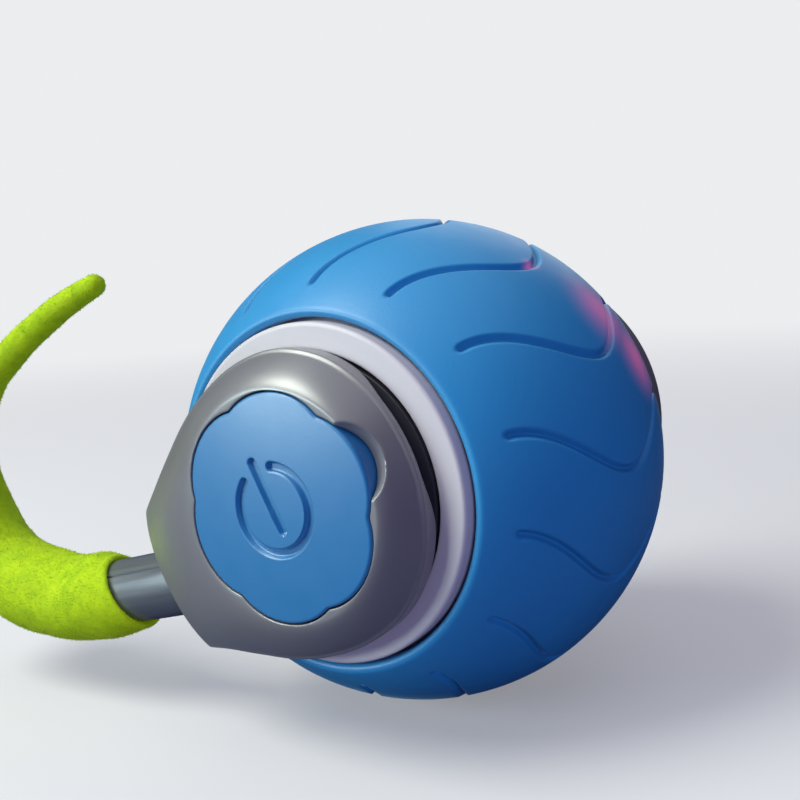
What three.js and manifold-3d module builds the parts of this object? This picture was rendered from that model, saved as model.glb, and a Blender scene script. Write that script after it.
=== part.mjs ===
// A self rolling cat ball with a plush tail, in millimetres.
// +Z is up, the ball's axle lies along Y with the power button towards -Y, and the tail points to -X.
// The origin is the ball's point of contact with the floor.
import * as THREE from "three";
import { mergeVertices } from "three/addons/utils/BufferGeometryUtils.js";
import Module from "manifold-3d";

const wasm = await Module();
wasm.setup();

// Fits
const clearance = 0.3; // round a piece that turns, slides or sits in another
const slip = 0.1; // between flat faces that rest on each other
const overrun = 1.0; // how far a cut runs past the face it opens
const weldDistance = 0.0003; // points closer than this are one

// Ball, sleeve and shell
const ballRadius = 22.5;
const ballSides = 36;
const ballBands = 9; // from lip to lip, an odd number, so that one band lies flat on the floor
const sleeveWall = 1.5;
const lipWidth = 0.6;
const shellWall = 1.2;
const faceDistance = 0.76 * ballRadius; // from the ball's centre to the flat ring of the shell
const faceRadius = 0.64 * ballRadius;
const faceBore = 0.5333 * ballRadius;
const faceThickness = 1.2;
const bushWall = 0.7;
const bushLength = 2.4;
const seatWall = 1.1;
const joinWall = 0.6;
const joinWidth = 3.0;

// Tread grooves
const grooveCount = 14;
const grooveWidth = 1.0;
const grooveDepth = 0.45;
const groovePhase = 85.5; // degrees from -X towards +Z
const grooveSteps = 9;
const grooveColatitudes = [50.8, 129.2]; // degrees from the near pole
const grooveCrest = { colatitude: 83.3, lead: 15.5 }; // degrees
const grooveTrough = { colatitude: 110, lead: 1.4 };
const grooveEndLead = 4.0;
const grooveEndShare = 0.5; // of the groove's width, left at its ends
const grooveStride = 0.01; // of the groove's length, over which its direction is measured

// Hubs
const hubSides = 24;
const flangeWidth = 1.5;
const journalRadius = faceBore - flangeWidth;
const journalWall = 0.85;
const hubFloor = 1.0;
const hubDepth = 4.1; // from the shell's face down to the hub's outer floor face
const flangeThickness = 1.1;
const ringRadius = journalRadius + slip; // raised ring that centres the cover
const ringHeight = 0.8;

// Flower button and cap
const flowerLobeRadius = journalRadius - journalWall - clearance;
const flowerNotchShare = 0.92; // of the lobes' radius
const flowerNotchRadius = flowerNotchShare * flowerLobeRadius;
const flowerLobes = 6;
const flowerSharpness = 0.62;
const capTop = ballRadius; // from the ball's centre
const capCrown = 0.55;
const capWall = 1.9;
const skirtWall = 0.85; // at the notches
const skirtRadius = flowerNotchRadius - skirtWall; // inside the cap
const pressTravel = 0.6;
const buttonStemRadius = 1.4;
const clipRadius = 2.6;
const clipThickness = 0.4;
const symbolRadius = 0.1556 * ballRadius;
const symbolWidth = 0.75;
const symbolDepth = 0.35;
const symbolBarLength = 0.2956 * ballRadius;
const symbolBarShare = 0.68; // of the bar, on the gap's side of the centre
const symbolGap = 27; // degrees each side of the bar
const symbolAngle = 118; // degrees, the way the bar points, from +X towards +Z

// Switch and its board
const boardRadius = 0.4178 * ballRadius;
const boardThickness = 0.8;
const switchWidth = 4.6;
const switchHeight = 1.4;
const plungerRadius = 0.9;
const plungerLength = 0.9;
const stemGap = 0.2; // between the button's stem and the plunger

// Button spring
const springRadius = 2.7;
const springWire = 0.25;
const springCoils = 4;
const springSteps = 8;
const springSides = 5;

// Cover and tail bracket
const coverThickness = 1.9; // at its outer edge
const coverEdge = faceDistance + coverThickness; // from the ball's centre
const coverRim = capTop - capCrown - slip; // round the flower, flush with the cap
const coverBevel = 0.3;
const coverFullness = 1.6; // power of the dome's fall, over 1 for a rounded one
const coverDomeSteps = 3;
const coverSteps = 24;
const coverTurn = 0.008; // radians, the least between two of its rays
const coverTailAngle = 208.9; // degrees, the way the tail end points
const farCoverAngle = 147.4; // degrees, seen from the far side, the way its wide side points
const farCoverRadius = 0.6622 * ballRadius;
const farCoverOffset = 0.1022 * ballRadius;
const prySpread = 38; // degrees each side
const pryHeight = 0.9;
const scoopRadius = 4.1;
const scoopReach = flowerLobeRadius - slip;
const scoopDepth = 1.6;
// half of the tail end, from its middle to the corner, then the flank and round to the back of the
// teardrop, along the tail's direction and across it, as shares of the ball's radius
const endShares = [
  [0.82, 0],
  [0.811, 0.15],
];
const flankShares = [
  [0.778, 0.291],
  [0.645, 0.349],
  [0.508, 0.424],
  [0.352, 0.502],
  [0.188, 0.548],
  [0, 0.564],
  [-0.195, 0.521],
  [-0.376, 0.401],
  [-0.5, 0.211],
  [-0.54, 0],
];

// Stem and tail
const stemAngle = 194; // degrees
const stemDrop = 0.2356 * ballRadius; // how far the stem's line passes below the axle
const stemHeight = 0.6756 * ballRadius; // from the ball's centre towards -Y
const stemRadius = 0.1378 * ballRadius;
const stemWall = 0.9;
const stemLength = 0.52 * ballRadius;
const stemEndWall = 1.2;
const bossWall = 2.6; // beyond the shell's flat ring
const bossReach = faceRadius + bossWall;
const bossLength = 4.6;
const sleeveClearance = 0.5;
const pegLength = 6.0;
const wireRadius = 0.5;
const wireHeadRadius = 1.5;
const wireHeadLength = 0.6;
const plushOverlap = 2.0;
const plushSides = 12;
const plushSteps = 26;
const tipSteps = 3;
const tipCutShare = 0.06; // of the tip's radius, left off where the rings would close
const mouthRadius = 0.1622 * ballRadius;
const swellRadius = 0.1889 * ballRadius;
const mouthLean = 0.41; // how far the mouth's lower edge reaches back, as a slope
const mouthTurn = 0.3; // how far its near edge reaches back, as a slope
const wireReachShare = 0.86;
// middle line of the plush beyond the stem: out from the axle, up, and its radius there, as shares
// of the ball's radius
const tailShares = [
  [1.42, -0.588, 0.182],
  [1.6, -0.583, 0.189],
  [1.77, -0.552, 0.187],
  [1.92, -0.475, 0.176],
  [2.03, -0.345, 0.163],
  [2.1, -0.18, 0.149],
  [2.128, 0, 0.135],
  [2.096, 0.15, 0.119],
  [2.01, 0.275, 0.1],
  [1.9, 0.38, 0.082],
  [1.76, 0.475, 0.067],
  [1.6, 0.578, 0.06],
  [1.425, 0.675, 0.056],
  [1.265, 0.75, 0.051],
  [1.122, 0.806, 0.044],
];

// Gears
const pressureAngle = 25; // degrees
const addendumShare = 0.8; // of the module
const dedendumShare = 1.0;
const backlash = 0.14;
const driveModule = ballRadius / 30;
const ringTeeth = 34;
const idlerPinionTeeth = 9;
const ringFace = 2.8;
const ringRoom = 0.8; // from the shell's seat for the bush
const ringBack = 0.6489 * ballRadius; // outer radius
const motorModule = ballRadius / 37.5;
const idlerWheelTeeth = 20;
const motorTeeth = 9;
const wheelFace = 1.6;
const wheelGap = 0.4; // from the wheel to the ring gear
const axleRadius = 0.6;

// Motor and chassis
const motorRadius = 0.2222 * ballRadius;
const gearboxLength = 0.1956 * ballRadius;
const motorSides = 20;
const shaftRadius = 1.0;
const shaftDepth = 1.8; // into the gearbox
const plateThickness = 1.0;
const shoulderHeight = 0.5; // from the tray's plate to the board
const plateRadius = 0.5511 * ballRadius;
const postRadius = 1.7;
const postCircle = 0.2733 * ballRadius;
const nearPostAngles = [90, 210, 330];
const farPostAngles = [10, 170, 270];
const shoulderRadius = 2.4;
const screwRadius = 0.6;
const screwHeadRadius = 1.25;
const screwHeadHeight = 0.8;
const screwLength = 3.6;
const screwSides = 8;
const trayPlateRadius = 0.4889 * ballRadius;
const deckThickness = 0.9;
const trayWall = 1.2;
const cradleWall = 1.0;
const bossWidth = 0.12 * ballRadius;
const armTop = 0.1333 * ballRadius; // above the axle
const lampLevel = 1.2;
const lampRadius = 1.5;
const lampLength = 3.3;
const lampRim = 0.25;
const lampRimHeight = 0.6;

// Battery, weight and charging port
const batteryWidth = 0.8444 * ballRadius;
const batteryHeight = 0.2133 * ballRadius;
const batteryRoom = 1.4; // shorter than the tray by this
const weightWeb = 0.025 * ballRadius; // past the tray's corner
const weightRoom = 0.7; // shorter than the tray by this
const weightReach = 0.1778 * ballRadius; // from under the axle towards the tail
const weightRise = 0.2489 * ballRadius; // below the axle, the top of its raised end
const leadRadius = 0.5;
const batteryLeadSpread = 1.6;
const motorLeadSpread = 2.2;
const windowHalfWidth = 0.1511 * ballRadius;
const windowHeight = 0.16 * ballRadius;
const portWidth = 0.3956 * ballRadius;
const portHeight = 3.2;
const portWall = 0.35;
const tongueRoom = 1.25; // at each end of the tongue
const tongueThickness = 0.7;
const chargeBoardWidth = 4.0;

const radians = THREE.MathUtils.degToRad;

// Finishes
function finish(color, roughness, metalness = 0) {
  return new THREE.MeshStandardMaterial({ color, roughness, metalness });
}
const blueSilicone = finish(0x3688c4, 0.55);
const whiteShell = finish(0xc4c4cc, 0.45);
const greyCover = finish(0x77747a, 0.38);
const farGrey = finish(0x54453f, 0.38);
const darkHub = finish(0x3c3c42, 0.5);
const greyStem = finish(0x6c7075, 0.42);
const limePlush = finish(0xa6c828, 0.95);
const blackPlastic = finish(0x26272b, 0.6);
const nylon = finish(0xe9e6da, 0.5);
const steel = finish(0xb9bcc0, 0.35, 0.9);
const boardGreen = finish(0x1f6b45, 0.6);
const batteryWrap = finish(0x9aa4b8, 0.4, 0.3);
const redLens = finish(0xff2d55, 0.2);
const violetLens = finish(0x8a4bff, 0.2);
const redWire = finish(0xc8202a, 0.5);
const blackWire = finish(0x18181a, 0.5);

// A geometry as one welded surface that faces outwards
function welded(geometry) {
  const bare = geometry.clone();
  for (const name of Object.keys(bare.attributes)) {
    if (name !== "position") bare.deleteAttribute(name);
  }
  const whole = mergeVertices(bare, weldDistance);
  const place = whole.attributes.position;
  const kept = [];
  let volume = 0;
  const [a, b, c] = [new THREE.Vector3(), new THREE.Vector3(), new THREE.Vector3()];
  for (let i = 0; i < whole.index.count; i += 3) {
    const [p, q, r] = [0, 1, 2].map((k) => whole.index.getX(i + k));
    if (p === q || q === r || r === p) continue;
    kept.push(p, q, r);
    a.fromBufferAttribute(place, p);
    b.fromBufferAttribute(place, q);
    c.fromBufferAttribute(place, r);
    volume += a.dot(b.cross(c));
  }
  if (volume < 0) kept.reverse();
  whole.setIndex(kept);
  return whole;
}

function toSolid(shape) {
  if (shape instanceof wasm.Manifold) return shape;
  const geometry = welded(shape);
  return new wasm.Manifold(
    new wasm.Mesh({
      numProp: 3,
      vertProperties: geometry.attributes.position.array,
      triVerts: new Uint32Array(geometry.index.array),
    }),
  );
}

function toGeometry(solid) {
  const mesh = solid.getMesh();
  const geometry = new THREE.BufferGeometry();
  geometry.setAttribute("position", new THREE.BufferAttribute(mesh.vertProperties, 3));
  geometry.setIndex(new THREE.BufferAttribute(mesh.triVerts, 1));
  return geometry;
}

function joined(first, ...others) {
  return others.reduce((whole, next) => whole.add(toSolid(next)), toSolid(first));
}

function cut(first, ...cutters) {
  return cutters.reduce((whole, next) => whole.subtract(toSolid(next)), toSolid(first));
}

// How much further out the corners of a polygon lie than its flats
function cornerFactor(sides) {
  return 1 / Math.cos(Math.PI / sides);
}

// A closed profile of [radius, height] turned round the local z axis, with a flat towards -y
function turned(profile, sides = hubSides) {
  const reach = cornerFactor(sides);
  const points = [...profile, profile[0]].map(([r, z]) => new THREE.Vector2(r * reach, z));
  const start = -Math.PI / sides;
  return new THREE.LatheGeometry(points, sides, start, 2 * Math.PI).rotateX(Math.PI / 2);
}

function circle(radius, sides, x = 0, y = 0) {
  const points = [];
  for (let i = 0; i < sides; i++) {
    const angle = (2 * Math.PI * (i + 0.5)) / sides;
    points.push(new THREE.Vector2(x + radius * Math.cos(angle), y + radius * Math.sin(angle)));
  }
  return points;
}

// An outline drawn out along local z from low to high
function prism(outline, low, high, holes = [], bevel = 0) {
  const shape = new THREE.Shape(outline);
  shape.holes = holes.map((hole) => new THREE.Path(hole));
  const geometry = new THREE.ExtrudeGeometry(shape, {
    depth: high - low - 2 * bevel,
    bevelEnabled: bevel > 0,
    bevelThickness: bevel,
    bevelSize: bevel,
    bevelOffset: -bevel,
    bevelSegments: 1,
    curveSegments: 1,
  });
  return geometry.translate(0, 0, low + bevel);
}

function rod(radius, low, high, sides = screwSides, x = 0, y = 0) {
  return prism(circle(radius * cornerFactor(sides), sides, x, y), low, high);
}

function rectangle(width, height, x = 0, y = 0) {
  const [w, h] = [width / 2, height / 2];
  return [[-w, -h], [w, -h], [w, h], [-w, h]].map(([u, v]) => new THREE.Vector2(x + u, y + v));
}

function polar(radius, degrees) {
  const angle = radians(degrees);
  return new THREE.Vector2(radius * Math.cos(angle), radius * Math.sin(angle));
}

// Groups: the ball's own frame has +z along the axle towards the button, x to +X and y up
const catBall = new THREE.Group();
const axle = new THREE.Group();
axle.position.set(0, 0, ballRadius);
axle.rotation.x = Math.PI / 2;
catBall.add(axle);
const farSide = new THREE.Group();
farSide.rotation.y = Math.PI;
axle.add(farSide);
const stemLine = new THREE.Group();
stemLine.rotation.z = radians(stemAngle);
axle.add(stemLine);

function place(name, shape, material, parent = axle) {
  const geometry = shape instanceof wasm.Manifold ? toGeometry(shape) : welded(shape);
  const mesh = new THREE.Mesh(geometry, material.clone());
  mesh.name = name;
  parent.add(mesh);
  return mesh;
}

// Bands of the ball, from the lip of the sleeve to the equator, as angles from the pole
const innerLip = faceRadius + clearance;
const lipAngle = Math.asin((innerLip + lipWidth) / ballRadius);
const bandAngle = (Math.PI - 2 * lipAngle) / ballBands;
const nearBands = [];
for (let i = 0; i <= (ballBands - 1) / 2; i++) nearBands.push(lipAngle + i * bandAngle);
const bandReach = 1 / Math.cos(bandAngle / 2);

function onSphere(radius, angle) {
  return [radius * bandReach * Math.sin(angle), radius * bandReach * Math.cos(angle)];
}

function heightOnSphere(radius, out) {
  return Math.sqrt(radius * radius - out * out);
}

const flipped = ([r, z]) => [r, -z];

// Tread grooves: each runs from lip to lip in an S that leads, falls back and leads a little again
function grooveLead(colatitude) {
  const { colatitude: crest, lead } = grooveCrest;
  const { colatitude: trough, lead: low } = grooveTrough;
  const ease = (t) => (1 - Math.cos(Math.PI * t)) / 2;
  const [start, end] = grooveColatitudes;
  if (colatitude < crest) return lead * ease((colatitude - start) / (crest - start));
  if (colatitude < trough) {
    return lead + (low - lead) * ease((colatitude - crest) / (trough - crest));
  }
  return low + (grooveEndLead - low) * ease((colatitude - trough) / (end - trough));
}

function spherePoint(radius, colatitude, azimuth) {
  const [polarAngle, turn] = [radians(colatitude), radians(180 - azimuth)];
  const out = radius * Math.sin(polarAngle);
  return new THREE.Vector3(out * Math.cos(turn), out * Math.sin(turn), radius * Math.cos(polarAngle));
}

function treadCutter(azimuth) {
  const [start, end] = grooveColatitudes;
  const floor = ballRadius - grooveDepth;
  const top = ballRadius * bandReach * cornerFactor(ballSides) + overrun;
  const path = (share) => {
    const colatitude = start + (end - start) * share;
    return spherePoint(1, colatitude, azimuth + grooveLead(colatitude));
  };
  const vertices = [];
  for (let i = 0; i <= grooveSteps; i++) {
    const share = i / grooveSteps;
    const out = path(share);
    const ahead = path(Math.min(1, share + grooveStride));
    const along = ahead.sub(path(Math.max(0, share - grooveStride)));
    const across = along.cross(out).normalize();
    const narrow = i === 0 || i === grooveSteps ? grooveEndShare : 1;
    const half = (grooveWidth / 2) * narrow;
    for (const [side, radius] of [[-1, floor], [1, floor], [1, top], [-1, top]]) {
      const corner = out.clone().multiplyScalar(radius).addScaledVector(across, side * half);
      vertices.push(corner.x, corner.y, corner.z);
    }
  }
  return ringsToGeometry(vertices, grooveSteps + 1, 4);
}

// Rings of points, one after another: a tube with flat ends, or one that runs round into itself
function ringsToGeometry(vertices, rings, sides, round = false) {
  const index = [];
  for (let i = 0; i < (round ? rings : rings - 1); i++) {
    const [row, next] = [i * sides, ((i + 1) % rings) * sides];
    for (let k = 0; k < sides; k++) {
      const after = (k + 1) % sides;
      index.push(row + k, row + after, next + k, row + after, next + after, next + k);
    }
  }
  const last = (rings - 1) * sides;
  for (let k = 1; k < sides - 1 && !round; k++) {
    index.push(0, k + 1, k);
    index.push(last, last + k, last + k + 1);
  }
  const geometry = new THREE.BufferGeometry();
  geometry.setAttribute("position", new THREE.Float32BufferAttribute(vertices, 3));
  geometry.setIndex(index);
  return geometry;
}

const sleeveInner = ballRadius - sleeveWall;
const sleeveSide = [
  ...nearBands.slice(1).reverse().map((angle) => onSphere(sleeveInner, angle)),
  [innerLip, heightOnSphere(sleeveInner, innerLip)],
  [innerLip, onSphere(ballRadius, lipAngle)[1] - lipWidth / 2],
  [innerLip + lipWidth / 3, onSphere(ballRadius, lipAngle)[1]],
  ...nearBands.map((angle) => onSphere(ballRadius, angle)),
];
const sleeve = turned([...sleeveSide, ...sleeveSide.map(flipped).reverse()], ballSides);
const grooves = Array.from({ length: grooveCount }, (_, k) => {
  return treadCutter(groovePhase + (360 * k) / grooveCount);
});
place("tread_sleeve", cut(sleeve, ...grooves), blueSilicone);

// Shell halves: a dome with a neck, a flat ring and a seat for the bush
const shellRadius = sleeveInner - clearance;
const domeInside = shellRadius - shellWall;
const bushOuter = journalRadius + clearance + bushWall;
const seatRadius = bushOuter + clearance;
const seatTop = faceDistance - faceThickness;
const seatBottom = seatTop - clearance - bushLength;
const shellProfile = [
  [shellRadius, slip / 2],
  ...nearBands.slice(1).reverse().map((angle) => onSphere(shellRadius, angle)),
  [faceRadius, heightOnSphere(shellRadius, faceRadius)],
  [faceRadius, faceDistance],
  [faceBore, faceDistance],
  [faceBore, seatTop],
  [seatRadius, seatTop],
  [seatRadius, seatBottom],
  [seatRadius + seatWall, seatBottom],
  [seatRadius + seatWall, heightOnSphere(domeInside, seatRadius + seatWall)],
  ...nearBands.slice(1).map((angle) => onSphere(domeInside, angle)),
  [domeInside, slip / 2],
];
place("near_shell", turned(shellProfile, ballSides), whiteShell);
place("far_shell", turned(shellProfile.map(flipped), ballSides), whiteShell);

const joinOuter = domeInside - clearance;
const joinProfile = [
  [joinOuter, -joinWidth / 2],
  [joinOuter, joinWidth / 2],
  [joinOuter - joinWall, joinWidth / 2],
  [joinOuter - joinWall, -joinWidth / 2],
];
place("joint_ring", turned(joinProfile, ballSides), whiteShell);

const bushInner = journalRadius + clearance;
const bushProfile = [
  [bushInner, seatBottom],
  [bushOuter, seatBottom],
  [bushOuter, seatTop - clearance],
  [bushInner, seatTop - clearance],
];
place("near_bush", turned(bushProfile), nylon);
place("far_bush", turned(bushProfile.map(flipped)), nylon);

// Gears: involute flanks, with the outline's first tooth centred on the given direction
function gearOutline({ teeth, module, tip, root, halfAngle, direction, flankShares, x = 0, y = 0 }) {
  const base = ((module * teeth) / 2) * Math.cos(radians(pressureAngle));
  const involute = (angle) => Math.tan(angle) - angle;
  const spread = (radius) => {
    const angle = Math.acos(Math.min(1, base / radius));
    return halfAngle + involute(radians(pressureAngle)) - involute(angle);
  };
  const flank = flankShares.map((share) => {
    const radius = root + (tip - root) * share;
    return [radius, spread(Math.max(radius, base))];
  });
  const outline = [];
  for (let k = 0; k < teeth; k++) {
    const middle = radians(direction) + (2 * Math.PI * k) / teeth;
    const rising = flank.map(([r, a]) => [r, middle - a]);
    const falling = flank.map(([r, a]) => [r, middle + a]).reverse();
    for (const [r, angle] of [...rising, ...falling]) {
      outline.push(new THREE.Vector2(x + r * Math.cos(angle), y + r * Math.sin(angle)));
    }
  }
  return outline;
}

function toothSizes(teeth, module, thinning) {
  const pitch = (module * teeth) / 2;
  const halfAngle = Math.PI / (2 * teeth) - thinning / (4 * pitch);
  return { teeth, module, halfAngle, pitch };
}

function outsideGear(teeth, module, direction, x, y) {
  const sizes = toothSizes(teeth, module, backlash);
  const tip = sizes.pitch + addendumShare * module;
  const root = sizes.pitch - dedendumShare * module;
  return gearOutline({ ...sizes, tip, root, direction, x, y, flankShares: [0, 0.5, 1] });
}

const idlerHeight = (driveModule * (ringTeeth - idlerPinionTeeth)) / 2;
const motorHeight = idlerHeight - (motorModule * (idlerWheelTeeth + motorTeeth)) / 2;
const ringDistance = seatBottom - ringRoom - ringFace; // from the ball's centre
const ringFar = -ringDistance - ringFace;
const up = 90;
const down = 270;

function ringGearSolid() {
  const sizes = toothSizes(ringTeeth, driveModule, -backlash);
  const tip = sizes.pitch + dedendumShare * driveModule;
  const root = sizes.pitch - addendumShare * driveModule;
  const spaces = gearOutline({ ...sizes, tip, root, direction: up, flankShares: [0, 1] });
  const rim = circle(ringBack, ringTeeth);
  return prism(rim, ringFar, -ringDistance, [spaces]);
}
place("ring_gear", ringGearSolid(), nylon);

const axleHole = axleRadius + clearance;
const wheelFar = -ringDistance + wheelGap;
const wheelNear = wheelFar + wheelFace;
const idlerSmall = prism(
  outsideGear(idlerPinionTeeth, driveModule, up, 0, idlerHeight),
  ringFar + slip,
  wheelFar + wheelFace / 2,
);
const idlerLarge = prism(
  outsideGear(idlerWheelTeeth, motorModule, down, 0, idlerHeight),
  wheelFar,
  wheelNear,
);
const idlerBore = rod(axleHole, ringFar - overrun, wheelNear + overrun, screwSides, 0, idlerHeight);
place("idler_gear", cut(joined(idlerSmall, idlerLarge), idlerBore), nylon);

// Hubs: a floor, a journal, a flange in the shell's bore and a raised ring that centres the cover
const floorNear = faceDistance - hubDepth + hubFloor;
const floorFar = faceDistance - hubDepth;
const flangeRadius = faceBore - clearance;
const ringTop = faceDistance + ringHeight;
const wellRadius = journalRadius - journalWall;

function hubSolid(holeRadius) {
  const flangeTop = faceDistance - slip;
  return turned([
    [holeRadius, floorFar],
    [journalRadius, floorFar],
    [journalRadius, seatTop],
    [flangeRadius, seatTop],
    [flangeRadius, flangeTop],
    [ringRadius, flangeTop],
    [ringRadius, ringTop],
    [wellRadius, ringTop],
    [wellRadius, floorNear],
    [holeRadius, floorNear],
  ]);
}

const screwHole = screwRadius + clearance;

function holesAt(angles, low, high) {
  return angles.map((angle) => {
    const at = polar(postCircle, angle);
    return rod(screwHole, low, high, screwSides, at.x, at.y);
  });
}

const nearHub = cut(
  hubSolid(buttonStemRadius + clearance),
  ...holesAt(nearPostAngles, floorFar - overrun, floorNear + overrun),
);
place("near_hub", nearHub, darkHub);

// The far hub in the far side's own frame, where +z runs outwards and x is turned about
const farAngles = farPostAngles.map((angle) => 180 - angle);
const farHub = cut(
  hubSolid(postRadius),
  ...holesAt(farAngles, floorFar - overrun, floorNear + overrun),
  rod(axleHole, floorFar - overrun, floorNear - hubFloor / 3, screwSides, 0, idlerHeight),
);
place("far_hub", farHub, darkHub, farSide);

// Flower-shaped caps: six broad lobes with sharp notches between them
function flower(grow = 0) {
  const points = [];
  const perLobe = 6;
  for (let i = 0; i < flowerLobes * perLobe; i++) {
    const turn = (2 * Math.PI * i) / (flowerLobes * perLobe);
    const rise = Math.abs(Math.sin((flowerLobes / 2) * turn)) ** flowerSharpness;
    const radius = flowerNotchRadius + (flowerLobeRadius - flowerNotchRadius) * rise + grow;
    points.push(new THREE.Vector2(radius * Math.cos(turn), radius * Math.sin(turn)));
  }
  return points;
}

const capBottom = floorNear + pressTravel + 2 * clearance;
const capInside = capTop - capWall;

// A shallow dome over the cap, lower at the lobes than in the middle by the crown
function capDome() {
  const rings = 5;
  const reach = flowerLobeRadius + overrun;
  const profile = [[0, capBottom - overrun], [reach, capBottom - overrun]];
  for (let i = rings; i >= 0; i--) {
    const out = i / rings;
    const drop = capCrown * ((out * reach) / flowerLobeRadius) ** 2;
    profile.push([out * reach, capTop - drop]);
  }
  return turned(profile);
}

function capSolid() {
  const body = toSolid(prism(flower(), capBottom, capTop + overrun)).intersect(toSolid(capDome()));
  return cut(body, rod(skirtRadius, capBottom - overrun, capInside, hubSides));
}

// The power symbol: a ring with a gap, and a bar that runs past the centre and ends in the gap
function symbolCutters() {
  const [low, high] = [capTop - symbolDepth, capTop + overrun];
  const half = symbolWidth / 2;
  const steps = 20;
  const arc = [];
  for (const radius of [symbolRadius - half, symbolRadius + half]) {
    const side = [];
    for (let i = 0; i <= steps; i++) {
      const angle = symbolAngle + symbolGap + ((360 - 2 * symbolGap) * i) / steps;
      side.push(polar(radius, angle));
    }
    arc.push(...(radius > symbolRadius ? side.reverse() : side));
  }
  const bar = rectangle(symbolBarLength, symbolWidth, (symbolBarShare - 0.5) * symbolBarLength, 0);
  const turn = radians(symbolAngle);
  const barSolid = prism(bar, low, high).rotateZ(turn);
  return [prism(arc, low, high), barSolid];
}

// Power button, its clip and the spring under it
const clipHigh = floorFar - slip;
const clipLow = clipHigh - clipThickness;
const buttonStemEnd = clipLow - clearance;
const switchTop = buttonStemEnd - pressTravel - slip;
const switchBottom = switchTop - switchHeight;
const boardNear = switchBottom - slip;
const buttonStem = rod(buttonStemRadius, buttonStemEnd, capInside + capWall / 2, screwSides);
place("power_button", joined(cut(capSolid(), ...symbolCutters()), buttonStem), blueSilicone);

const clip = prism(
  circle(clipRadius, 2 * screwSides),
  clipLow,
  clipHigh,
  [circle((buttonStemRadius + slip) * cornerFactor(screwSides), screwSides)],
);
place("button_clip", clip, steel);

function springSolid() {
  const low = floorNear + clearance + springWire;
  const high = capInside - clearance - springWire;
  const steps = springCoils * springSteps;
  const vertices = [];
  for (let i = 0; i <= steps; i++) {
    const turn = (2 * Math.PI * i) / springSteps;
    const centre = low + ((high - low) * i) / steps;
    for (let k = 0; k < springSides; k++) {
      const angle = (2 * Math.PI * k) / springSides;
      const out = springRadius + springWire * Math.cos(angle);
      vertices.push(out * Math.cos(turn), out * Math.sin(turn), centre + springWire * Math.sin(angle));
    }
  }
  return ringsToGeometry(vertices, steps + 1, springSides);
}
place("button_spring", springSolid(), steel);

// Switch on its round board
const boardHoles = nearPostAngles.map((angle) => {
  const at = polar(postCircle, angle);
  return circle(postRadius + clearance, screwSides, at.x, at.y);
});
place(
  "circuit_board",
  prism(circle(boardRadius, hubSides), boardNear - boardThickness, boardNear, boardHoles),
  boardGreen,
);
const plungerHole = rod(
  plungerRadius + clearance,
  switchBottom + clearance,
  switchTop + overrun,
  screwSides,
);
const switchShape = prism(rectangle(switchWidth, switchWidth), switchBottom, switchTop);
place("switch_body", cut(switchShape, plungerHole), blackPlastic);
const plungerTop = buttonStemEnd - stemGap;
place("switch_plunger", rod(plungerRadius, plungerTop - plungerLength, plungerTop), redWire);

// Far cap over the charging port
place("charge_cap", capSolid(), blueSilicone, farSide);

// Covers: a domed plate round a flower-shaped hole
function spreadShares(shares, side = 1) {
  const spot = ([along, across]) => new THREE.Vector3(along, side * across, 0);
  return shares.map((share) => spot(share).multiplyScalar(ballRadius));
}

// The teardrop: a smooth curve from corner to corner round the back, and the bowed tail end
function teardrop() {
  const back = spreadShares(flankShares.slice(0, -1), -1).reverse();
  const round = new THREE.CatmullRomCurve3([...spreadShares(flankShares), ...back]);
  const end = [...spreadShares(endShares.slice(1), -1).reverse(), ...spreadShares(endShares)];
  return [...round.getPoints(coverSteps), ...end].map((p) => new THREE.Vector2(p.x, p.y));
}

function turnedOutline(points, degrees) {
  const centre = new THREE.Vector2();
  return points.map((p) => p.clone().rotateAround(centre, radians(degrees)));
}

// A wedge of a flat ring, from radius to radius, either side of a direction
function wedge(inner, outer, direction, spread, low, high) {
  const steps = 8;
  const points = [];
  for (const radius of [inner, outer]) {
    const side = [];
    for (let i = 0; i <= steps; i++) {
      side.push(polar(radius, direction - spread + (2 * spread * i) / steps));
    }
    points.push(...(radius === outer ? side.reverse() : side));
  }
  return prism(points, low, high);
}

const coverBottom = faceDistance + clearance;

// How far out an outline round the axle lies in a direction
function reachOf(outline, angle) {
  const way = new THREE.Vector2(Math.cos(angle), Math.sin(angle));
  let reach = 0;
  outline.forEach((p, i) => {
    const q = outline[(i + 1) % outline.length];
    const [left, right] = [way.cross(p), way.cross(q)];
    if (left * right > 0 || left === right) return;
    reach = Math.max(reach, p.clone().lerp(q, left / (left - right)).dot(way));
  });
  return reach;
}

// A plate whose top falls from the flower's rim to the outer edge
function domedPlate(outline) {
  const hole = flower(clearance);
  const angles = [...outline, ...hole].map((p) => p.angle()).sort((a, b) => a - b);
  const apart = angles.filter((angle, i) => i === 0 || angle - angles[i - 1] > coverTurn);
  const vertices = [];
  let count = 0;
  for (const angle of apart) {
    const [out, inside] = [reachOf(outline, angle), reachOf(hole, angle)];
    const edge = out - coverBevel;
    const profile = [[inside, coverBottom], [out, coverBottom], [out, coverEdge - coverBevel]];
    for (let i = coverDomeSteps; i >= 0; i--) {
      const share = i / coverDomeSteps;
      const height = coverRim - (coverRim - coverEdge) * share ** coverFullness;
      profile.push([inside + (edge - inside) * share, height]);
    }
    for (const [r, z] of profile) vertices.push(r * Math.cos(angle), r * Math.sin(angle), z);
    count = profile.length;
  }
  return ringsToGeometry(vertices, apart.length, count, true);
}

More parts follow.
